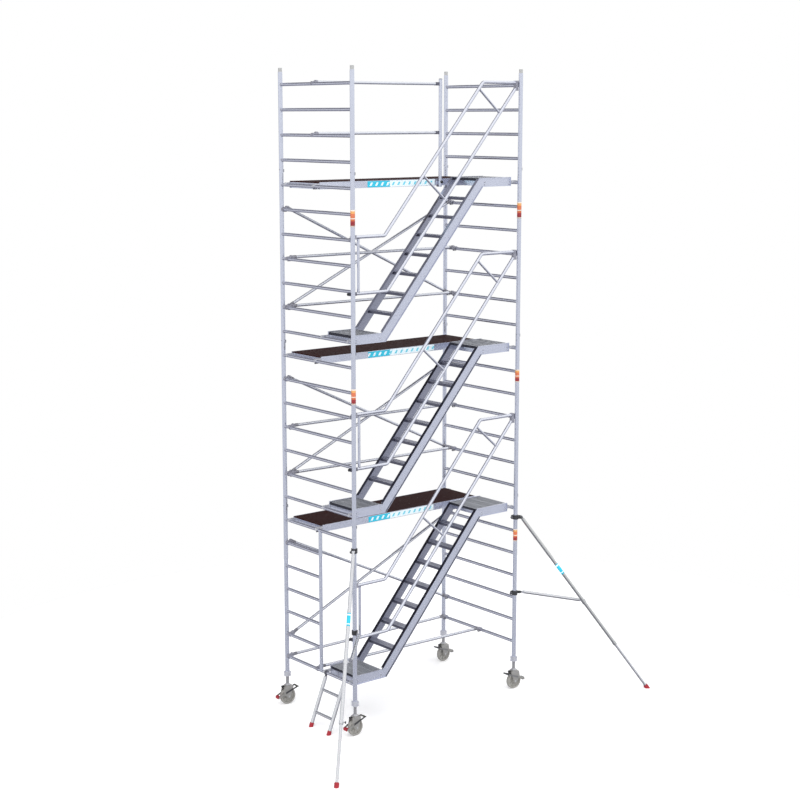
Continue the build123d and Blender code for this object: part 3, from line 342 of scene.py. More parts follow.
paint_all("platform_frame", beam_metal)

# ---- stairs
FLIGHT_LENGTH = 1.460
FLIGHT_RISE = 6 * RUNG_PITCH
FLIGHT_STEPS = 8
SLOPE = math.atan2(FLIGHT_RISE, FLIGHT_LENGTH)
STAIR_NEAR = Y_MID - 0.605
STAIR_FAR = Y_MID - 0.095
STAIR_MID = (STAIR_NEAR + STAIR_FAR) / 2
SQUARE_ON = 0.7  # a face looks along an axis when this much of its way is on it
# painted dark reflection along the top edge of each flight; lighter on the third flight
EDGE_REFLECTION_TONES = ((0.05, 0.05, 0.075), (0.07, 0.07, 0.10), (0.42, 0.43, 0.52))
GRIT_STEP = (0.45, 0.7)
GRIT_HEIGHT = 0.0003


def stringer_metal(name, edge_reflection_tone):
    """Stringers: bright outer faces, painted shade on the inner faces, and a painted dark reflection along
    the edge of each flight.
    """
    shader = aluminium(name, (0.74, 0.77, 0.88), (0.63, 0.66, 0.78), (0.02, 1, 0.02), metallic=0.8)
    facing = shader.facing()
    # painted dark reflection on the faces along the flight's edge
    edge_on = shader.vector("DOT_PRODUCT", facing, (-math.sin(SLOPE), 0, math.cos(SLOPE)))
    edge_reflection = shader.rise(edge_on, 0.93, 0.97)
    _, face_y, _ = shader.axes(facing)
    _, place_y, _ = shader.axes(shader.place)
    half = shader.math("SIGN", shader.math("SUBTRACT", place_y, STAIR_MID))
    # painted shade on the faces that look into the stairs
    inner_face = shader.below(shader.times(half, face_y), -SQUARE_ON)
    inner_shade = shader.times(inner_face, 0.62)
    with_inner_shade = shader.blend(inner_shade, shader.fed("Base Color"), (0.14, 0.14, 0.20))
    shader.colour(shader.blend(edge_reflection, with_inner_shade, edge_reflection_tone))
    return shader


def grit_and_end_shade(shader, grit, share, tone):
    """Fine grit, and painted shade: a share of a darker tone on the faces that look along X."""
    shader.bump(shader.rise(shader.noise(grit, 2.0), *GRIT_STEP), GRIT_HEIGHT)
    toward_x = shader.math("ABSOLUTE", shader.axes(shader.facing())[0])
    end_face = shader.above(toward_x, SQUARE_ON)
    end_shade = shader.times(end_face, share)
    shader.colour(shader.blend(end_shade, shader.fed("Base Color"), tone))


for number, tone in enumerate(EDGE_REFLECTION_TONES, 1):
    paint(f"stair_stringers_{number}", stringer_metal(f"stringer_metal_{number}", tone))

tread = aluminium("tread_metal", (0.66, 0.67, 0.76), (0.52, 0.53, 0.62), (1, 0.01, 1), (0.32, 0.48), 0.8)
# painted shade on the tread noses
grit_and_end_shade(tread, 700.0, 0.85, (0.07, 0.07, 0.11))
paint("stair_treads", tread)
# the boards' tones are darker than the other aluminium: painted dark reflection
board = aluminium("landing_metal", (0.56, 0.58, 0.62), (0.42, 0.44, 0.48), (1, 0.01, 1), (0.42, 0.60), 0.6)
# painted shade on the ends of the landing boards
grit_and_end_shade(board, 600.0, 1.0, (0.04, 0.04, 0.055))
paint("stair_landing_boards", board)

# ---- decks: film-faced plywood with a fine mesh print and scuffs
PRINT_WAVES = 1400.0
deck = Shader("deck_plywood", Specular_IOR_Level=0.05)
deck_x, deck_y, _ = deck.axes(deck.place)
weft = deck.math("SINE", deck.times(deck_x, PRINT_WAVES))
warp = deck.math("SINE", deck.times(deck_y, PRINT_WAVES))
mesh_print = deck.math("MAXIMUM", weft, warp)
cloud = deck.noise(3.0, 5.0)
scuffs = deck.rise(deck.noise(9.0, 8.0, stretch=(0.25, 1, 1), roughness=0.75), 0.60, 0.72)
film = deck.blend(cloud, (0.022, 0.0035, 0.003), (0.037, 0.006, 0.005))
film = deck.blend(deck.times(scuffs, 0.18), film, (0.10, 0.045, 0.035))
print_share = deck.times(deck.span(mesh_print, 0, 0.25), 0.5)
deck.colour(deck.blend(print_share, film, (0.012, 0.006, 0.006)))
deck.rough(deck.pick(scuffs, 0.60, 0.80))
deck.bump(mesh_print, 0.0004)
paint_all("platform_deck", deck)

paint("carrying_hooks", cast_metal("hook_casting", (0.78, 0.79, 0.82), (0.55, 0.56, 0.60)))
paint("brace_claws", cast_metal("claw_casting", (0.52, 0.52, 0.58), (0.34, 0.34, 0.39)))
paint("spring_clips_and_latches", cast_metal("latch_steel", (0.22, 0.22, 0.26), (0.10, 0.10, 0.12), 0.85))
black = cast_metal("black_coat", (0.055, 0.056, 0.062), (0.025, 0.025, 0.028), 0.25, (0.38, 0.52), 900.0)
paint("rail_couplers", cast_metal("coupler_casting", (0.24, 0.24, 0.29), (0.13, 0.13, 0.17)))
paint_all("stabiliser_clamps", black)

# ---- stabiliser feet and the ladder: aluminium with moulded red feet
FOOT_CUFF = 0.0485  # length of red rubber at the end of a tube
RED_LIGHT = (0.40, 0.018, 0.032)
RED_DARK = (0.27, 0.010, 0.020)


def red_rubber(shader):
    return shader.blend(shader.noise(60.0, 4.0), RED_DARK, RED_LIGHT)


def footed_tube(name, hinge, down, from_hinge, casting=None):
    """Tube metal, red rubber beyond a distance along the tube, and a casting round its hinge."""
    shader = aluminium(name, *LEG_TONES, LEG_GRAIN)
    along = shader.along(hinge, down)
    foot = shader.above(along, from_hinge)
    tone = shader.blend(foot, shader.fed("Base Color"), red_rubber(shader))
    shine = shader.pick(foot, shader.fed("Roughness"), 0.62)
    if casting is not None:
        cast = shader.below(along, casting)
        tone = shader.blend(cast, tone, (0.20, 0.20, 0.23))
        shine = shader.pick(cast, shine, 0.55)
    shader.colour(tone)
    shader.rough(shine)
    shader.metal_except(foot, 0.9)
    return shader


LEG_PIVOT_Z = 2.196
ARM_PIVOT_Z = 1.234
PIVOT_OUT = 0.072  # from the post's centre line
stabiliser_axis = {}
for side, (x, y) in STABILISER_POST.items():
    bearing = math.radians(STABILISER_BEARING[side])
    out = Vector((math.cos(bearing), math.sin(bearing), 0))
    pivot = Vector((x, y, LEG_PIVOT_Z)) + out * PIVOT_OUT
    foot = Vector((x, y, 0)) + out * STABILISER_REACH[side]
    down = (foot - pivot).normalized()
    stabiliser_axis[side] = (pivot, foot, down, out)
    cuff_start = (foot - pivot).length - FOOT_CUFF
    paint(f"stabiliser_inner_leg_{side}", footed_tube(f"inner_leg_{side}", pivot, down, cuff_start))

LADDER_TILT = math.radians(21.4)
ladder_down = Vector((-math.sin(LADDER_TILT), 0, -math.cos(LADDER_TILT)))
ladder_hinge = Vector((X_LEFT, 0, FIRST_RUNG))
ladder_length = FIRST_RUNG / math.cos(LADDER_TILT)
HINGE_CASTING = 0.0439
ladder_cuff = ladder_length - FOOT_CUFF
ladder_tube = footed_tube("ladder_tube", ladder_hinge, ladder_down, ladder_cuff, HINGE_CASTING)
paint("access_ladder", ladder_tube)

# ---- castors: heights are from the floor, reaches from the kingpin along the wheel's heading
WHEEL_RADIUS = 0.1
FORK_SHADE = (0.215, 0.19)
CHEEK_FACE = 0.0362
AXLE_BAND = (0.075, 0.125)
KNOB_REACH = 0.0525
KNOB_HEIGHT = 0.228
KNOB_RADIUS = 0.0134
PAD_REACH = -0.1235
PAD_HALF_WIDTH = 0.0305
BAR_REACH = 0.1075
BAR_HEIGHTS = (0.1995, 0.2105)
LEVER_REACH = -0.045
RIM_EDGE = (0.088, 0.097)
THREAD_SHADE = (0.0186, 0.0177)
THREAD_FOOT = 0.256


def castor_axes(shader, name, height=0.0):
    """Coordinates about a height on a castor's kingpin line, with X along its wheel."""
    return shader.local((*POST_XY[name], height), HEADING[name])


def fork_finish(name):
    """Zinc fork, shaded below the crown, with bright axle ends and black knobs."""
    shader = Shader(f"fork_{name}", metallic=0.8)
    px, py, pz = castor_axes(shader, name)
    shade = shader.times(shader.rise(pz, *FORK_SHADE), 0.25)
    steel = shader.blend(shade, zinc(shader), (0.28, 0.27, 0.25))
    off_knob = shader.distance(py, shader.math("SUBTRACT", pz, KNOB_HEIGHT))
    past_crown = shader.above(shader.math("ABSOLUTE", px), KNOB_REACH)
    knob = shader.times(past_crown, shader.below(off_knob, KNOB_RADIUS))
    past_cheek = shader.above(shader.math("ABSOLUTE", py), CHEEK_FACE)
    axle_end = shader.times(shader.between(pz, *AXLE_BAND), past_cheek)
    steel = shader.blend(axle_end, steel, (0.66, 0.66, 0.66))
    shader.colour(shader.blend(knob, steel, (0.02, 0.02, 0.022)))
    shader.metal_except(knob, 0.8)
    shader.rough(shader.span(shader.noise(120.0, 4.0), 0.34, 0.56))
    shader.bump(shader.noise(350.0, 3.0), 0.0002)
    return shader


def brake_finish(name):
    """Zinc brake with a foot pad and a release bar; the pads of the left castors are red."""
    left_hand = name.endswith("left")
    shader = Shader(f"brake_{name}", metallic=0.0)
    px, py, pz = castor_axes(shader, name)
    narrow = shader.below(shader.math("ABSOLUTE", py), PAD_HALF_WIDTH)
    pad = shader.times(shader.below(px, PAD_REACH), narrow)
    past_bar = shader.above(px, BAR_REACH)
    bar = shader.times(past_bar, shader.between(pz, *BAR_HEIGHTS))
    arms = zinc(shader, (0.50, 0.49, 0.46), (0.36, 0.35, 0.33))
    lever_tone = (0.10, 0.10, 0.105) if left_hand else (0.30, 0.30, 0.30)
    arms = shader.blend(shader.above(px, LEVER_REACH), arms, lever_tone)
    if left_hand:
        pad_tone = red_rubber(shader)
        bar_tone = (0.075, 0.08, 0.062)
    else:
        pad_tone = zinc(shader, (0.55, 0.55, 0.54), (0.38, 0.38, 0.38))
        bar_tone = (0.03, 0.03, 0.035)
    shader.colour(shader.blend(bar, shader.blend(pad, arms, pad_tone), bar_tone))
    shader.metal_except(shader.math("MAXIMUM", pad if left_hand else bar, bar), 0.75)
    shader.rough(shader.span(shader.noise(150.0, 3.0), 0.38, 0.55))
    pad_waves = shader.math("SINE", shader.times(px, 900.0))
    shader.bump(shader.times(pad, pad_waves), 0.0008)
    return shader


def wheel_finish(name):
    """Nylon wheel with a dirty running face."""
    shader = Shader(f"wheel_{name}", metallic=0.0)
    px, _, pz = castor_axes(shader, name, WHEEL_RADIUS)
    nylon = shader.blend(shader.noise(14.0, 5.0), (0.23, 0.225, 0.21), (0.34, 0.33, 0.31))
    rim = shader.rise(shader.distance(px, pz), *RIM_EDGE)
    dirt = shader.times(rim, shader.rise(shader.noise(45.0, 6.0), 0.42, 0.66))
    shader.colour(shader.blend(shader.times(dirt, 0.55), nylon, (0.22, 0.205, 0.185)))
    shader.rough(shader.span(shader.noise(80.0, 4.0), 0.45, 0.68))
    shader.bump(shader.noise(220.0, 3.0), 0.0003)
    return shader


def spindle_finish(name):
    """Zinc screw with painted shade in its thread roots."""
    shader = Shader(f"spindle_{name}", metallic=0.85)
    steel = zinc(shader, (0.70, 0.70, 0.72), (0.52, 0.52, 0.55))
    px, py, pz = castor_axes(shader, name)
    groove = shader.rise(shader.distance(px, py), *THREAD_SHADE)
    # painted shade down in the thread roots
    root_shade = shader.times(groove, shader.above(pz, THREAD_FOOT))
    shader.colour(shader.blend(root_shade, steel, (0.16, 0.16, 0.18)))
    shader.rough(shader.span(shader.noise(150.0, 3.0), 0.28, 0.45))
    shader.bump(shader.noise(400.0, 2.0), 0.0001)
    return shader


spindle_metal = {}
for name in POST_XY:
    paint(f"castor_fork_{name}", fork_finish(name))
    paint(f"castor_brake_{name}", brake_finish(name))
    paint(f"castor_wheel_{name}", wheel_finish(name))
    nut_metal = cast_metal(f"nut_{name}", (0.80, 0.81, 0.86), (0.60, 0.61, 0.68), 0.8)
    paint(f"castor_nut_{name}", nut_metal)
    spindle_metal[name] = spindle_finish(name)
    paint(f"castor_spindle_{name}", spindle_metal[name])


# ---- mesh helpers
UP = Vector((0, 0, 1))
ALONG_X = Vector((1, 0, 0))
ALONG_Y = Vector((0, 1, 0))


def show(thing):
    bpy.context.scene.collection.objects.link(thing)


def finish_piece(name, bm, shader, body, smooth=True):
    """Turn a bmesh into a piece on a body, with its finish."""
    bmesh.ops.recalc_face_normals(bm, faces=bm.faces)
    mesh = bpy.data.meshes.new(name)
    bm.to_mesh(mesh)
    bm.free()
    for face in mesh.polygons:
        face.use_smooth = smooth
    mesh.materials.append(shader.material)
    piece = bpy.data.objects.new(name, mesh)
    show(piece)
    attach(piece, body)
    return piece


def skin(bm, rings, close_ends=False):
    """Join rings of points into a surface."""
    rows = [[bm.verts.new(point) for point in ring] for ring in rings]
    pairs = list(zip(rows, rows[1:]))
    if close_ends:
        pairs.append((rows[-1], rows[0]))
    count = len(rows[0])
    for row, after in pairs:
        for i in range(count):
            j = (i + 1) % count
            bm.faces.new((row[i], row[j], after[j], after[i]))
    return rows


def capped_skin(bm, rings):
    """Join rings of points into a surface with a flat face at each end."""
    rows = skin(bm, rings)
    bm.faces.new(rows[0])
    bm.faces.new(list(reversed(rows[-1])))


def spokes(direction, count):
    """Unit vectors all round a direction."""
    direction = direction.normalized()
    side = direction.cross(UP)
    if side.length < 1e-4:
        side = Vector((1, 0, 0))
    side.normalize()
    up = direction.cross(side)
    angles = [2 * math.pi * k / count for k in range(count)]
    return [side * math.cos(angle) + up * math.sin(angle) for angle in angles]


def lathe(bm, origin, direction, profile, segments):
    """Revolve (radius, height) pairs about an axis, with flat ends."""
    axis = direction.normalized()
    around = spokes(direction, segments)
    rings = []
    for radius, height in profile:
        rings.append([origin + axis * height + spoke * radius for spoke in around])
    capped_skin(bm, rings)


def sweep(bm, points, radius, sides):
    """A round bead along a closed line of points."""
    rings = []
    count = len(points)
    for i, point in enumerate(points):
        ahead = points[(i + 1) % count] - points[i - 1]
        rings.append([point + spoke * radius for spoke in spokes(ahead, sides)])
    skin(bm, rings, close_ends=True)


def hex_bolt(bm, origin, direction, across, height):
    """A hexagon head with a chamfered crown and a washer under it."""
    washer = height * 0.18
    lathe(bm, origin, direction, [(across * 0.75, 0), (across * 0.75, washer)], 20)
    corner = across / math.sqrt(3)
    head = [(corner, 0), (corner, height * 0.68), (corner * 0.8, height * 0.82)]
    lathe(bm, origin + direction.normalized() * washer, direction, head, 6)


def dome(bm, origin, direction, radius, height):
    """A pan-head rivet or screw."""
    profile = [(radius, 0), (radius, height * 0.3), (radius * 0.8, height * 0.75), (radius * 0.4, height)]
    lathe(bm, origin, direction, profile, 12)


def pour(source, bm):
    """Move the shape of one bmesh into another."""
    mesh = bpy.data.meshes.new("poured")
    source.to_mesh(mesh)
    source.free()
    bm.from_mesh(mesh)
    bpy.data.meshes.remove(mesh)


def plate(bm, low, high, bevel):
    """A block between two corners with softened edges."""
    centre = (Vector(low) + Vector(high)) / 2
    size = Vector([abs(h - l) for l, h in zip(low, high)])
    box = bmesh.new()
    bmesh.ops.create_cube(box, size=1.0, matrix=Matrix.Translation(centre) @ Matrix.Diagonal((*size, 1)))
    bmesh.ops.bevel(box, geom=box.edges[:], offset=bevel, segments=2, affect="EDGES")
    pour(box, bm)


# ---- weld beads where rungs meet posts
weld = Shader("weld_bead", metallic=0.85)
weld.colour(weld.blend(weld.noise(240.0, 3.0), (0.50, 0.50, 0.55), (0.72, 0.73, 0.80)))
weld.rough(weld.span(weld.noise(300.0, 3.0), 0.35, 0.55))
weld.bump(weld.noise(420.0, 2.0), 0.0006)
FRAME_SETS = [("base", 1, 7), ("second", 8, 14), ("third", 15, 21), ("top", 22, 25)]
PASSAGE_RUNGS = range(2, 7)  # short rungs beside the opening of the left base frame
WELD_GAP = 0.0008
WELD_POINTS = 20
FRAME_BEAD = 0.0024
RAIL_BEAD = 0.0021


def branch_weld(bm, at, main_way, branch_way, main_radius, branch_radius, bead):
    """A bead where a branch tube meets the side of a main tube whose centre line passes a point."""
    across = main_way.cross(branch_way)
    points = []
    for k in range(WELD_POINTS):
        angle = 2 * math.pi * k / WELD_POINTS
        along = (branch_radius + WELD_GAP) * math.cos(angle)
        aside = (branch_radius + WELD_GAP) * math.sin(angle)
        depth = math.sqrt(main_radius ** 2 - aside ** 2)
        points.append(at + main_way * along + across * aside + branch_way * depth)
    sweep(bm, points, bead, 6)


for level, first, last in FRAME_SETS:
    for side, x in END_X.items():
        bm = bmesh.new()
        passage = level == "base" and side == "left"
        for number in range(first, last + 1):
            z = rung_z(number)
            ends = [(Y_NEAR, 1, POST_RADIUS), (Y_FAR, -1, POST_RADIUS)]
            if passage and number in PASSAGE_RUNGS:
                ends = [(MID_POST_Y, 1, MID_POST_RADIUS), (Y_FAR, -1, POST_RADIUS)]
            for y, toward, radius in ends:
                at = Vector((x, y, z))
                branch_weld(bm, at, UP, ALONG_Y * toward, radius, RUNG_RADIUS, FRAME_BEAD)
        finish_piece(f"weld_beads_{level}_{side}", bm, weld, "tower")

# ---- plain labels
def banded(name, origin, direction, bands):
    """Film in plain (start, end, colour) bands along a direction, over the first one's colour."""
    shader = Shader(name)
    along = shader.along(origin, direction)
    tone = bands[0][2]
    for start, end, colour in bands[1:]:
        tone = shader.blend(shader.between(along, start, end), tone, colour)
    scuff = shader.rise(shader.noise(90.0, 6.0, roughness=0.7), 0.6, 0.75)
    shader.colour(shader.blend(shader.times(scuff, 0.2), tone, (0.6, 0.6, 0.6)))
    shader.rough(shader.pick(scuff, 0.35, 0.6))
    shader.bump(shader.noise(120.0, 3.0), 0.0001)
    return shader


FILM_SHELLS = (0.0003, 0.0008)  # inner and outer face of a film, off the tube
FILM_STEPS = 14


def wrap_label(bm, base, axis, radius, length, facing, spread):
    """A film bent round a tube, facing one way."""
    axis = axis.normalized()
    front = (facing - axis * facing.dot(axis)).normalized()
    side = axis.cross(front)
    rows = []
    for height in (0, length * 0.5, length):
        row = []
        there = range(FILM_STEPS + 1)
        for shell, turns in zip(FILM_SHELLS, (there, reversed(there))):
            for k in turns:
                angle = spread * (k / FILM_STEPS - 0.5)
                spoke = front * math.cos(angle) + side * math.sin(angle)
                row.append(base + axis * height + spoke * (radius + shell))
        rows.append(row)
    capped_skin(bm, rows)


ORANGE = (0.58, 0.15, 0.06)
DEEP_RED = (0.36, 0.04, 0.045)
CREAM = (0.72, 0.62, 0.54)
GOLD = (0.66, 0.32, 0.10)
TOWARDS_VIEWER = Vector((-0.63, -0.77, 0))
SAFETY_BANDS = [  # start and end as shares of the label's length
    (0.0, 0.08, CREAM), (0.08, 0.34, DEEP_RED), (0.34, 0.46, ORANGE), (0.46, 0.52, CREAM),
    (0.52, 0.78, ORANGE), (0.78, 0.92, GOLD), (0.92, 1.0, CREAM),
]
post_labels = {  # heights of each label's lower and upper edge
    "near_left": [(5.848, 6.036), (3.876, 4.051)],
    "near_right": [(5.846, 6.041), (3.876, 4.029), (1.894, 2.046)],
}
for name, spans in post_labels.items():
    for number, (low, high) in enumerate(spans, 1):
        tall = high - low
        bands = [(start * tall, end * tall, colour) for start, end, colour in SAFETY_BANDS]
        shader = banded(f"safety_film_{name}_{number}", (0, 0, low), UP, bands)
        bm = bmesh.new()
        base = Vector((*POST_XY[name], low))
        wrap_label(bm, base, UP, POST_RADIUS, tall, TOWARDS_VIEWER, math.radians(250))
        finish_piece(f"safety_label_{name}_{number}", bm, shader, "tower")

CYAN = (0.02, 0.50, 0.68)
SKY_WHITE = (0.80, 0.90, 0.94)
LEG_RADIUS = 0.021
LEG_LABEL_LENGTH = 0.150
LEG_LABEL_LEVEL = 1.545
LEG_LABEL_RISE = 0.069  # from that level up the leg to the label's upper end
for side, (pivot, foot, down, out) in stabiliser_axis.items():
    level_spot = pivot + down * ((pivot.z - LEG_LABEL_LEVEL) / -down.z)
    bands = [(0, LEG_LABEL_LENGTH, CYAN), (0.012, 0.030, SKY_WHITE), (0.120, 0.132, SKY_WHITE)]
    base = level_spot - down * LEG_LABEL_RISE
    shader = banded(f"leg_film_{side}", base, down, bands)
    bm = bmesh.new()
    wrap_label(bm, base, down, LEG_RADIUS, LEG_LABEL_LENGTH, TOWARDS_VIEWER, math.radians(280))
    finish_piece(f"leg_label_{side}", bm, shader, f"stabiliser_leg_{side}")

DECK_NEAR = Y_MID + 0.008
DECK_FAR = Y_MID + 0.592
PLATFORM_RUNGS = (7, 14, 21)
LABEL_START = X_MID - 0.510
LABEL_CHANGE = X_MID - 0.180
LABEL_END = X_MID + 0.505
BAR_SLANT = -0.6
BAR_SPACING = 0.082
BAR_WIDTH = 0.030
FILM_MARGIN = 0.016
LABEL_DROP = 0.030
LABEL_RISE = 0.040


def striped_film(name, low, high):
    """Two plain fields, each with slanted bars in the other field's colour."""
    shader = Shader(name)
    px, _, pz = shader.axes(shader.place)
    slant = shader.math("MULTIPLY_ADD", pz, BAR_SLANT, px)
    wave = shader.math("FLOORED_MODULO", slant, BAR_SPACING)
    bar = shader.below(wave, BAR_WIDTH)
    inside = shader.between(pz, low + FILM_MARGIN, high - FILM_MARGIN)
    bar = shader.times(bar, inside)
    pale = shader.above(px, LABEL_CHANGE)
    speck = shader.noise(35.0, 4.0)
    cyan = shader.blend(speck, (0.015, 0.44, 0.62), (0.03, 0.56, 0.74))
    white = shader.blend(speck, (0.70, 0.84, 0.90), (0.84, 0.92, 0.95))
    soft_cyan = (0.16, 0.60, 0.74)
    first = shader.blend(bar, cyan, white)
    second = shader.blend(bar, white, soft_cyan)
    shader.colour(shader.blend(pale, first, second))
    shader.rough(shader.span(shader.noise(90.0, 5.0), 0.30, 0.50))
    shader.bump(shader.noise(120.0, 3.0), 0.0001)
    return shader


for level, rung in enumerate(PLATFORM_RUNGS, 1):
    low = rung_z(rung) - LABEL_DROP
    high = rung_z(rung) + LABEL_RISE
    bm = bmesh.new()
    plate(bm, (LABEL_START, DECK_NEAR - 0.0008, low), (LABEL_END, DECK_NEAR - 0.0001, high), 0.0002)
    shader = striped_film(f"beam_film_{level}", low, high)
    finish_piece(f"beam_label_{level}", bm, shader, "tower", smooth=False)

# ---- fixings on the stairs and platforms
# rivets, screws and buttons are (radius, height); bolts are (width across flats, height)
TREAD_RIVET = (0.0065, 0.003)
BAR_BOLT = (0.012, 0.007)
DECK_SCREW = (0.006, 0.0016)
BEAM_RIVET = (0.0055, 0.0022)
KNUCKLE_RIVET = (0.008, 0.0035)
PIVOT_BOLT = (0.019, 0.011)
ARM_BOLT = (0.019, 0.010)
CLAMP_BOLT = (0.014, 0.009)
SNAP_BUTTON = (0.0048, 0.0010)
# knobs are (radius, depth)
RAIL_KNOB = (0.015, 0.020)
GUARD_KNOB = (0.016, 0.022)
CLAMP_KNOB = (0.017, 0.024)
LEG_KNOB = (0.013, 0.016)
rivet_metal = cast_metal("rivet_metal", (0.80, 0.81, 0.88), (0.64, 0.65, 0.72), 0.85, (0.30, 0.45))
dark_steel = cast_metal("dark_steel", (0.16, 0.16, 0.18), (0.08, 0.08, 0.09), 0.7, (0.34, 0.50))
latch_casting = cast_metal("latch_casting", (0.38, 0.38, 0.42), (0.24, 0.24, 0.27), 0.75, (0.36, 0.52))
knob_plastic = cast_metal("knob_plastic", (0.030, 0.030, 0.033), (0.014, 0.014, 0.015), 0.0, grit=700.0)
LANDING_RUNGS = (1, 8, 15)
GOING = FLIGHT_LENGTH / FLIGHT_STEPS
RISER = FLIGHT_RISE / FLIGHT_STEPS
HOOK_REACH = 1.150
LOWER_BEND = X_MID - 0.789
UPPER_BEND = X_MID + 0.671
STRINGER_BACK = 0.010  # from the edge of the stairs to the stringer's face
STAIR_SIDES = ((STAIR_NEAR + STRINGER_BACK, -ALONG_Y), (STAIR_FAR - STRINGER_BACK, ALONG_Y))
DECK_SIDES = ((DECK_NEAR, -ALONG_Y), (DECK_FAR, ALONG_Y))
TREAD_RIVETS = (0.030, 0.080)  # past the start of each step
TREAD_RIVET_RISE = 0.040
SCREW_SPACING = 0.285
SCREW_EDGE = 0.026
SCREW_SEAM = 0.205
DECK_TOP = 0.0441  # above the rung that carries the platform
BRACKETS = (-1.155, -1.085, -0.56, 0.56, 1.085, 1.155)


def stair_fixings(low):
    """Tread rivets and cross-bar bolts of the flight that starts at a height."""
    bm = bmesh.new()
    high = low + FLIGHT_RISE
    lower_bars = ((X_MID - HOOK_REACH, low), (LOWER_BEND - 0.020, low))
    upper_bars = ((UPPER_BEND + 0.090, high), (X_MID + HOOK_REACH, high))
    for y, outward in STAIR_SIDES:
        for step in range(1, FLIGHT_STEPS):
            for behind in TREAD_RIVETS:
                x = LOWER_BEND + step * GOING + behind
                dome(bm, Vector((x, y, low + step * RISER + TREAD_RIVET_RISE)), outward, *TREAD_RIVET)
        for x, z in (*lower_bars, *upper_bars):
            for rise in (-0.014, 0.014):
                hex_bolt(bm, Vector((x, y, z + rise)), outward, *BAR_BOLT)
    return bm


def deck_screws(top):
    """Four rows of screws through the deck boards."""
    bm = bmesh.new()
    for inset in (SCREW_EDGE, SCREW_SEAM):
        for y in (DECK_NEAR + inset, DECK_FAR - inset):
            for step in range(-3, 4):
                dome(bm, Vector((X_MID + step * SCREW_SPACING, y, top)), UP, *DECK_SCREW)
    return bm


def platform_rivets(rung_height):
    """Pairs of rivets along both platform beams."""
    bm = bmesh.new()
    for y, outward in DECK_SIDES:
        for x in BRACKETS:
            for rise in (-0.020, 0.022):
                dome(bm, Vector((X_MID + x, y, rung_height + rise)), outward, *BEAM_RIVET)
    return bm


for number, rung in enumerate(LANDING_RUNGS, 1):
    bm = stair_fixings(rung_z(rung))
    finish_piece(f"stair_fixings_{number}", bm, rivet_metal, "tower")

for number, rung in enumerate(PLATFORM_RUNGS, 1):
    bm = deck_screws(rung_z(rung) + DECK_TOP)
    finish_piece(f"deck_screws_{number}", bm, dark_steel, "tower")
    bm = platform_rivets(rung_z(rung))
    finish_piece(f"platform_fixings_{number}", bm, rivet_metal, "tower")

# ---- latches, rivets and sleeves at the brace claws
CLAW_INWARD = 0.046  # from the rung's centre to the claw's knuckle
CLAW_RISE = 0.020
KNUCKLE_HALF = 0.017
LATCH_HALF = 0.011
LATCH_DROP = 0.0262
LATCH_THICK = 0.0050
TONGUE = (-0.006, 0.036)
LINK = (0.0295, 0.0365)
LINK_RISE = 0.006
LATCH_EDGE = 0.0012
SLEEVE = [(0.0180, 0.024), (0.0196, 0.0245), (0.0196, 0.062), (0.0188, 0.064), (0.0176, 0.064)]
# each line is how far its left and right ends are behind the middle of the tower
RISING_LINE = (0.604, 0.540)
FALLING_LINE = (0.627, 0.593)
GUARD_LINE = (0.555, 0.475)
FAR_LINE = (0.627, 0.627)
MIDDLE_LINE = (0.052, -0.040)
brace_lines = []
for number, (low, high) in enumerate(((2, 6), (9, 13), (16, 20)), 1):
    brace_lines.append((f"rising_{number}", RISING_LINE, low, high))
    brace_lines.append((f"falling_{number}", FALLING_LINE, high, low))
for rung in (9, 11, 16, 18):
    brace_lines.append((f"guard_{rung}", GUARD_LINE, rung, rung))
brace_lines += [("far_base", FAR_LINE, 1, 1), ("middle_base", MIDDLE_LINE, 1, 1)]


def claw_details(bm, knuckle, inward, brace_way):
    """Rivets on the boss, a latch under the rung and a sleeve round the brace's end."""
    rung = knuckle - Vector((CLAW_INWARD * inward, 0, CLAW_RISE))
    near_y = rung.y - LATCH_HALF
    far_y = rung.y + LATCH_HALF
    low_z = rung.z - LATCH_DROP
    for side in (-1, 1):
        dome(bm, knuckle + ALONG_Y * KNUCKLE_HALF * side, ALONG_Y * side, *KNUCKLE_RIVET)
    for span, high_z in ((TONGUE, low_z + LATCH_THICK), (LINK, rung.z + LINK_RISE)):
        low_x, high_x = sorted(rung.x + reach * inward for reach in span)
        plate(bm, (low_x, near_y, low_z), (high_x, far_y, high_z), LATCH_EDGE)
    lathe(bm, knuckle, brace_way, SLEEVE, 24)


for name, line, left_rung, right_rung in brace_lines:
    start = Vector((X_LEFT + CLAW_INWARD, Y_MID + line[0], rung_z(left_rung) + CLAW_RISE))
    end = Vector((X_RIGHT - CLAW_INWARD, Y_MID + line[1], rung_z(right_rung) + CLAW_RISE))
    way = (end - start).normalized()
    bm = bmesh.new()
    claw_details(bm, start, 1, way)
    claw_details(bm, end, -1, -way)
    finish_piece(f"claw_latches_{name}", bm, latch_casting, "tower")

# ---- knobs, caps and welds on the rails
KNOB_POINTS = 40
KNOB_PROFILE = [(0.45, 0.0), (0.45, 0.25), (0.92, 0.32), (1.0, 0.45), (1.0, 0.82), (0.86, 1.0), (0.02, 1.0)]
LOBE_SWELL = 0.13


def star_knob(bm, origin, direction, radius, depth, lobes=5):
    """A lobed hand knob with a rounded rim and a short neck."""
    axis = direction.normalized()
    around = spokes(direction, KNOB_POINTS)
    rings = []
    for share, height in KNOB_PROFILE:
        ring_points = []
        for k, spoke in enumerate(around):
            lobe = math.cos(lobes * 2 * math.pi * k / KNOB_POINTS)
            swell = 1 + (LOBE_SWELL * lobe if share > 0.5 else 0)
            ring_points.append(origin + axis * depth * height + spoke * radius * share * swell)
        rings.append(ring_points)
    capped_skin(bm, rings)


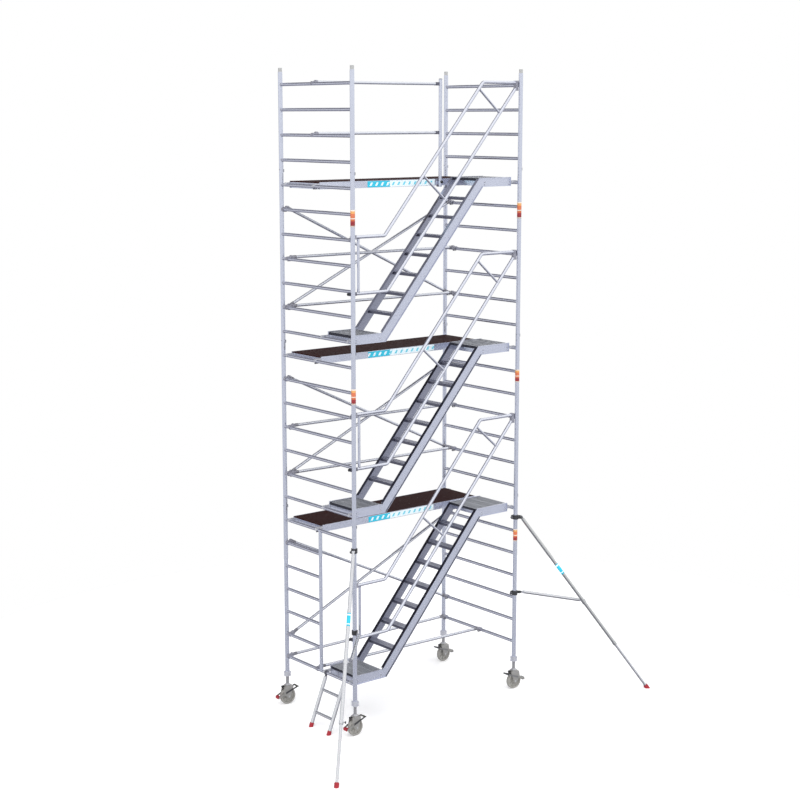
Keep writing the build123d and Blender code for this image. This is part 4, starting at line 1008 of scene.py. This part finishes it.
RAIL_Y = Y_MID - 0.635
RAIL_RADIUS = 0.019
UPRIGHT_X = X_MID - 1.148
UPRIGHT_RADIUS = 0.016
STRUT_RADIUS = 0.014
STRUTS = (-0.215, 0.622)  # along X from the middle of the tower
RAIL_BEND = -0.775
BEND_SHIFT = 0.031  # from the upper rail's bend to the lower rail's, along X
UPPER_RAIL_RISE = 0.032
LOWER_RAIL_DROP = 0.026
slope_way = Vector((math.cos(SLOPE), 0, math.sin(SLOPE)))
strut_way = Vector((math.sin(SLOPE), 0, -math.cos(SLOPE)))
for number, rung in enumerate(LANDING_RUNGS, 1):
    upper = rung_z(rung + 4) + UPPER_RAIL_RISE
    lower = rung_z(rung + 2) - LOWER_RAIL_DROP
    bm = bmesh.new()
    star_knob(bm, Vector((X_LEFT - 0.0273, Y_NEAR + 0.038, lower)), -ALONG_X, *RAIL_KNOB)
    finish_piece(f"rail_knob_{number}", bm, knob_plastic, "tower")
    bm = bmesh.new()
    for z, way in ((lower, UP), (upper, -UP)):
        at = Vector((UPRIGHT_X, RAIL_Y, z))
        branch_weld(bm, at, ALONG_X, way, RAIL_RADIUS, UPRIGHT_RADIUS, RAIL_BEAD)
    gap = (upper - lower) * math.cos(SLOPE) + BEND_SHIFT * math.sin(SLOPE)
    for offset in STRUTS:
        height = upper + (offset - RAIL_BEND) * math.tan(SLOPE)
        at = Vector((X_MID + offset, RAIL_Y, height))
        branch_weld(bm, at, slope_way, strut_way, RAIL_RADIUS, STRUT_RADIUS, RAIL_BEAD)
        at = at + strut_way * gap
        branch_weld(bm, at, slope_way, -strut_way, RAIL_RADIUS, STRUT_RADIUS, RAIL_BEAD)
    finish_piece(f"rail_welds_{number}", bm, weld, "tower")

GUARD_POST_TOP = 7.472
guard_x = X_MID + 0.570
guard_y = DECK_NEAR - 0.024
guard_cap = [(0.0180, -0.010), (0.0180, 0.0), (0.0215, 0.0), (0.0215, 0.003), (0.016, 0.006), (0.004, 0.007)]
bm = bmesh.new()
lathe(bm, Vector((guard_x, guard_y, GUARD_POST_TOP)), UP, guard_cap, 28)
star_knob(bm, Vector((guard_x, guard_y - 0.0205, rung_z(21) + 0.008)), -ALONG_Y, *GUARD_KNOB)
finish_piece("guard_post_knob", bm, knob_plastic, "tower")

# ---- stabilisers: bolts, knobs, snap buttons and foot rings
foot_red = Shader("foot_ring", metallic=0.0)
foot_red.colour(red_rubber(foot_red))
foot_red.rough(foot_red.span(foot_red.noise(200.0, 3.0), 0.50, 0.68))
foot_red.bump(foot_red.noise(300.0, 3.0), 0.0002)


def ring(bm, centre, axis, radius, bead):
    """A round bead round an axis."""
    points = [centre + spoke * radius for spoke in spokes(axis, 32)]
    sweep(bm, points, bead, 8)


CHEEK_HALF = 0.031
ARM_BOLT_OUT = 0.0432
CLAMP_BACK = 0.045
CLAMP_HALF = 0.010
COLLAR_Z = 0.600
FOOT_RINGS = (0.026, 0.036, 0.0475)  # back from the foot's end
BUTTON_SPACING = 0.1
BUTTON_OUT = 0.0168
for name, (pivot, foot, down, out) in stabiliser_axis.items():
    aside = Vector((-out.y, out.x, 0))
    post = pivot - out * PIVOT_OUT
    arm_pivot = Vector((pivot.x, pivot.y, ARM_PIVOT_Z))
    bm = bmesh.new()
    for way in (aside, -aside):
        hex_bolt(bm, pivot + way * CHEEK_HALF, way, *PIVOT_BOLT)
    hex_bolt(bm, arm_pivot + aside * ARM_BOLT_OUT, aside, *ARM_BOLT)
    for z in (LEG_PIVOT_Z, ARM_PIVOT_Z):
        back = Vector((post.x, post.y, z)) - out * CLAMP_BACK
        hex_bolt(bm, back + aside * CLAMP_HALF, aside, *CLAMP_BOLT)
        star_knob(bm, back - aside * CLAMP_HALF, -aside, *CLAMP_KNOB, 4)
    finish_piece(f"clamp_bolts_{name}", bm, dark_steel, f"stabiliser_swing_{name}")

    length = (foot - pivot).length
    collar = pivot + down * length * (LEG_PIVOT_Z - COLLAR_Z) / LEG_PIVOT_Z
    bm = bmesh.new()
    star_knob(bm, collar + down * 0.020 + aside * 0.036, aside, *LEG_KNOB)
    ring(bm, collar + down * 0.0405, down, 0.0232, 0.0016)
    finish_piece(f"leg_knob_{name}", bm, knob_plastic, f"stabiliser_leg_{name}")

    bm = bmesh.new()
    for back in FOOT_RINGS:
        ring(bm, foot - down * back, down, 0.0272, 0.0013)
    finish_piece(f"foot_rings_{name}", bm, foot_red, f"stabiliser_extension_{name}")
    bm = bmesh.new()
    for back in range(1, 6):
        spot = foot - down * back * BUTTON_SPACING
        for way in (aside, -aside):
            dome(bm, spot + way * BUTTON_OUT, way, *SNAP_BUTTON)
    finish_piece(f"snap_buttons_{name}", bm, dark_steel, f"stabiliser_extension_{name}")

LADDER_STILES = ((Y_MID - 0.130, -ALONG_Y), (Y_MID - 0.474, ALONG_Y))  # with the way inward
LADDER_RUNGS = (0.198, 0.470)  # down from the hinge
STILE_RADIUS = 0.021
LADDER_RUNG_RADIUS = 0.017
LADDER_FOOT_RINGS = (0.015, 0.031, 0.0475)
foot_rings = bmesh.new()
stile_welds = bmesh.new()
for y, inward in LADDER_STILES:
    hinge = Vector((X_LEFT, y, FIRST_RUNG))
    for back in LADDER_FOOT_RINGS:
        centre = hinge + ladder_down * (ladder_length - back)
        ring(foot_rings, centre, ladder_down, 0.0252, 0.0012)
    for drop in LADDER_RUNGS:
        at = hinge + ladder_down * drop
        branch_weld(stile_welds, at, ladder_down, inward, STILE_RADIUS, LADDER_RUNG_RADIUS, RAIL_BEAD)
finish_piece("ladder_foot_rings", foot_rings, foot_red, "ladder")
finish_piece("ladder_welds", stile_welds, weld, "ladder")

# ---- castors: screw threads, wheel ribs and pedal ridges
THREAD_PITCH = 0.006
THREAD_START = 0.2545
THREAD_END = 0.690
THREAD_ROWS = 420
THREAD_POINTS = 24
ROOT_RADIUS = 0.0176
THREAD_DEPTH = 0.0014
KINGPIN = [(0.0150, 0.2035), (0.0150, 0.2105), (0.0135, 0.2125)]
SPINDLE_FOOT = [
    (0.010, 0.212), (0.010, 0.2345), (0.033, 0.2345), (0.034, 0.2355), (0.034, 0.246),
    (0.033, 0.247), (0.025, 0.247), (0.025, 0.254), (0.0235, 0.255),
]
RIB_COUNT = 8
RIB_REACH = (0.031, 0.078)
RIB_DEPTH = (0.0085, 0.0175)
RIB_HALF = 0.002
HUB_FACE = 0.028
HUB_COVER = [(0.0142, 0.0), (0.0142, 0.0012), (0.0260, 0.0012), (0.0260, 0.0)]
RIDGE_START = -0.149
RIDGE_SPACING = 0.0055
RIDGE_WIDTH = 0.0028
RIDGE_HALF = 0.028
RIDGE_HEIGHTS = (0.1215, 0.1238)
rib_nylon = cast_metal("rib_nylon", (0.34, 0.33, 0.31), (0.23, 0.225, 0.21), 0.0, (0.48, 0.66), 220.0)


def threaded_spindle(x, y):
    """Kingpin, flange and a screw thread with a helical groove."""
    bm = bmesh.new()
    base = Vector((x, y, 0))
    lathe(bm, base, UP, KINGPIN, 6)
    lathe(bm, base, UP, SPINDLE_FOOT, 40)
    rings = []
    for row in range(THREAD_ROWS + 1):
        rise = (THREAD_END - THREAD_START) * row / THREAD_ROWS
        ring_points = []
        for k in range(THREAD_POINTS):
            turn = k / THREAD_POINTS
            phase = (rise / THREAD_PITCH - turn) % 1.0
            crest = abs(2 * phase - 1)
            radius = ROOT_RADIUS + THREAD_DEPTH * min(1.0, max(0.0, 1.6 * crest - 0.3))
            angle = 2 * math.pi * turn
            spoke = Vector((radius * math.cos(angle), radius * math.sin(angle), THREAD_START + rise))
            ring_points.append(base + spoke)
        rings.append(ring_points)
    capped_skin(bm, rings)
    return bm


def wheel_ribs():
    """Ribs and a hub cover on both faces of a wheel at the origin, rolling along X."""
    bm = bmesh.new()
    for side in (-1, 1):
        for k in range(RIB_COUNT):
            rib = bmesh.new()
            low_y, high_y = sorted(depth * side for depth in RIB_DEPTH)
            plate(rib, (RIB_REACH[0], low_y, -RIB_HALF), (RIB_REACH[1], high_y, RIB_HALF), 0.0008)
            spin = Matrix.Rotation(2 * math.pi * (k + 0.5) / RIB_COUNT, 4, "Y")
            rib.transform(Matrix.Translation((0, 0, WHEEL_RADIUS)) @ spin)
            pour(rib, bm)
        lathe(bm, Vector((0, HUB_FACE * side, WHEEL_RADIUS)), ALONG_Y * side, HUB_COVER, 32)
    return bm


def pedal_ridges():
    """Grip ridges across the foot pad of a castor at the origin."""
    bm = bmesh.new()
    low_z, high_z = RIDGE_HEIGHTS
    for k in range(5):
        x = RIDGE_START + k * RIDGE_SPACING
        plate(bm, (x, -RIDGE_HALF, low_z), (x + RIDGE_WIDTH, RIDGE_HALF, high_z), 0.0008)
    return bm


for name, (x, y) in POST_XY.items():
    bm = threaded_spindle(x, y)
    metal = spindle_metal[name]
    spindle = finish_piece(f"threaded_spindle_{name}", bm, metal, f"spindle_{name}")
    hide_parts(f"castor_spindle_{name}")
    turned = Matrix.Translation((x, y, 0)) @ Matrix.Rotation(math.radians(HEADING[name]), 4, "Z")
    bm = wheel_ribs()
    bm.transform(turned)
    finish_piece(f"wheel_ribs_{name}", bm, rib_nylon, f"wheel_{name}", smooth=False)
    if name.endswith("left"):
        bm = pedal_ridges()
        bm.transform(turned)
        finish_piece(f"pedal_ridges_{name}", bm, foot_red, f"brake_{name}")

# ---- camera
camera = bpy.data.objects.new("camera", bpy.data.cameras.new("camera"))
show(camera)
camera.location = (X_MID - 12.192, Y_MID - 14.855, 7.044)
yaw = math.radians(39.3)  # turned from +Y towards +X
pitch = math.radians(9.87)  # looking down
ahead = Vector((math.sin(yaw) * math.cos(pitch), math.cos(yaw) * math.cos(pitch), -math.sin(pitch)))
camera.rotation_mode = "QUATERNION"
camera.rotation_quaternion = ahead.to_track_quat("-Z", "Y")
camera.data.lens = 73.43
camera.data.sensor_width = 36.0
bpy.context.scene.camera = camera

# ---- sky
SKY_TONES = [  # from straight down to straight up
    (0.0, (0.10, 0.10, 0.13)), (0.18, (0.18, 0.18, 0.22)), (0.30, (0.36, 0.36, 0.41)),
    (0.36, (0.52, 0.53, 0.57)), (0.42, (0.62, 0.63, 0.67)), (0.50, (0.74, 0.75, 0.78)),
    (0.56, (0.88, 0.89, 0.90)), (0.66, (1.0, 1.0, 1.0)), (1.0, (1.0, 1.0, 1.0)),
]
SCREEN_WAY = Vector((-0.05, 0.76, 0.60)).normalized()
SCREEN_EDGE = (0.70, 0.86)
SCREEN_TONE = (0.16, 0.16, 0.19)
SKY_POWER = 1.05
MATT_EXTRA = 0.45  # matt surfaces get more of the sky than polished ones


def background(sky, colour, strength):
    node = sky.add("Background")
    sky.feed(node.inputs["Color"], colour)
    sky.feed(node.inputs["Strength"], strength)
    return node.outputs[0]


world = bpy.data.worlds.new("studio")
bpy.context.scene.world = world
world.use_nodes = True
sky = Nodes(world.node_tree, "Generated")
_, _, upward = sky.axes(sky.place)
ramp = sky.add("ValToRGB")
sky.feed(ramp.inputs[0], sky.math("MULTIPLY_ADD", upward, 0.5, 0.5))
stops = ramp.color_ramp.elements
for position, _ in SKY_TONES[1:-1]:
    stops.new(position)
for stop, (position, colour) in zip(stops, SKY_TONES):
    stop.position = position
    stop.color = (*colour, 1)
# a soft dark screen behind the tower, above the horizon
screen = sky.rise(sky.vector("DOT_PRODUCT", sky.place, SCREEN_WAY), *SCREEN_EDGE)
tone = sky.blend(screen, ramp.outputs[0], SCREEN_TONE)
path = sky.add("LightPath").outputs
power = sky.math("MULTIPLY_ADD", path["Is Diffuse Ray"], MATT_EXTRA, SKY_POWER)
mix = sky.add("MixShader")
sky.feed(mix.inputs[0], path["Is Camera Ray"])
sky.feed(mix.inputs[1], background(sky, tone, power))
sky.feed(mix.inputs[2], background(sky, (1, 1, 1), 1.0))
sky.feed(sky.add("OutputWorld").inputs[0], mix.outputs[0])


# ---- lights and floor
def add_light(name, location, target, size, power):
    data = bpy.data.lights.new(name, "AREA")
    data.shape = "DISK"
    data.size = size
    data.energy = power
    lamp = bpy.data.objects.new(name, data)
    lamp.location = location
    lamp.visible_glossy = False
    lamp.rotation_mode = "QUATERNION"
    lamp.rotation_quaternion = (Vector(target) - Vector(location)).to_track_quat("-Z", "Y")
    show(lamp)


aim = (X_MID, Y_MID, 3.5)  # about half way up the tower
add_light("key", (-9.0, -6.0, 13.0), aim, 9.0, 600.0)
add_light("fill", (9.0, -12.0, 7.0), aim, 9.0, 250.0)

floor_mesh = bpy.data.meshes.new("floor")
bm = bmesh.new()
bmesh.ops.create_circle(bm, cap_ends=True, radius=7.0, segments=96)
bm.to_mesh(floor_mesh)
bm.free()
floor = bpy.data.objects.new("floor", floor_mesh)
show(floor)
floor_shader = Shader("pale_floor", Roughness=0.9)
floor_shader.colour((0.97, 0.97, 0.97))
floor_shader.bsdf.inputs["Emission Color"].default_value = (1, 1, 1, 1)
floor_shader.bsdf.inputs["Emission Strength"].default_value = 0.16
floor_mesh.materials.append(floor_shader.material)
floor.visible_glossy = False

bpy.context.scene.view_settings.view_transform = "Standard"
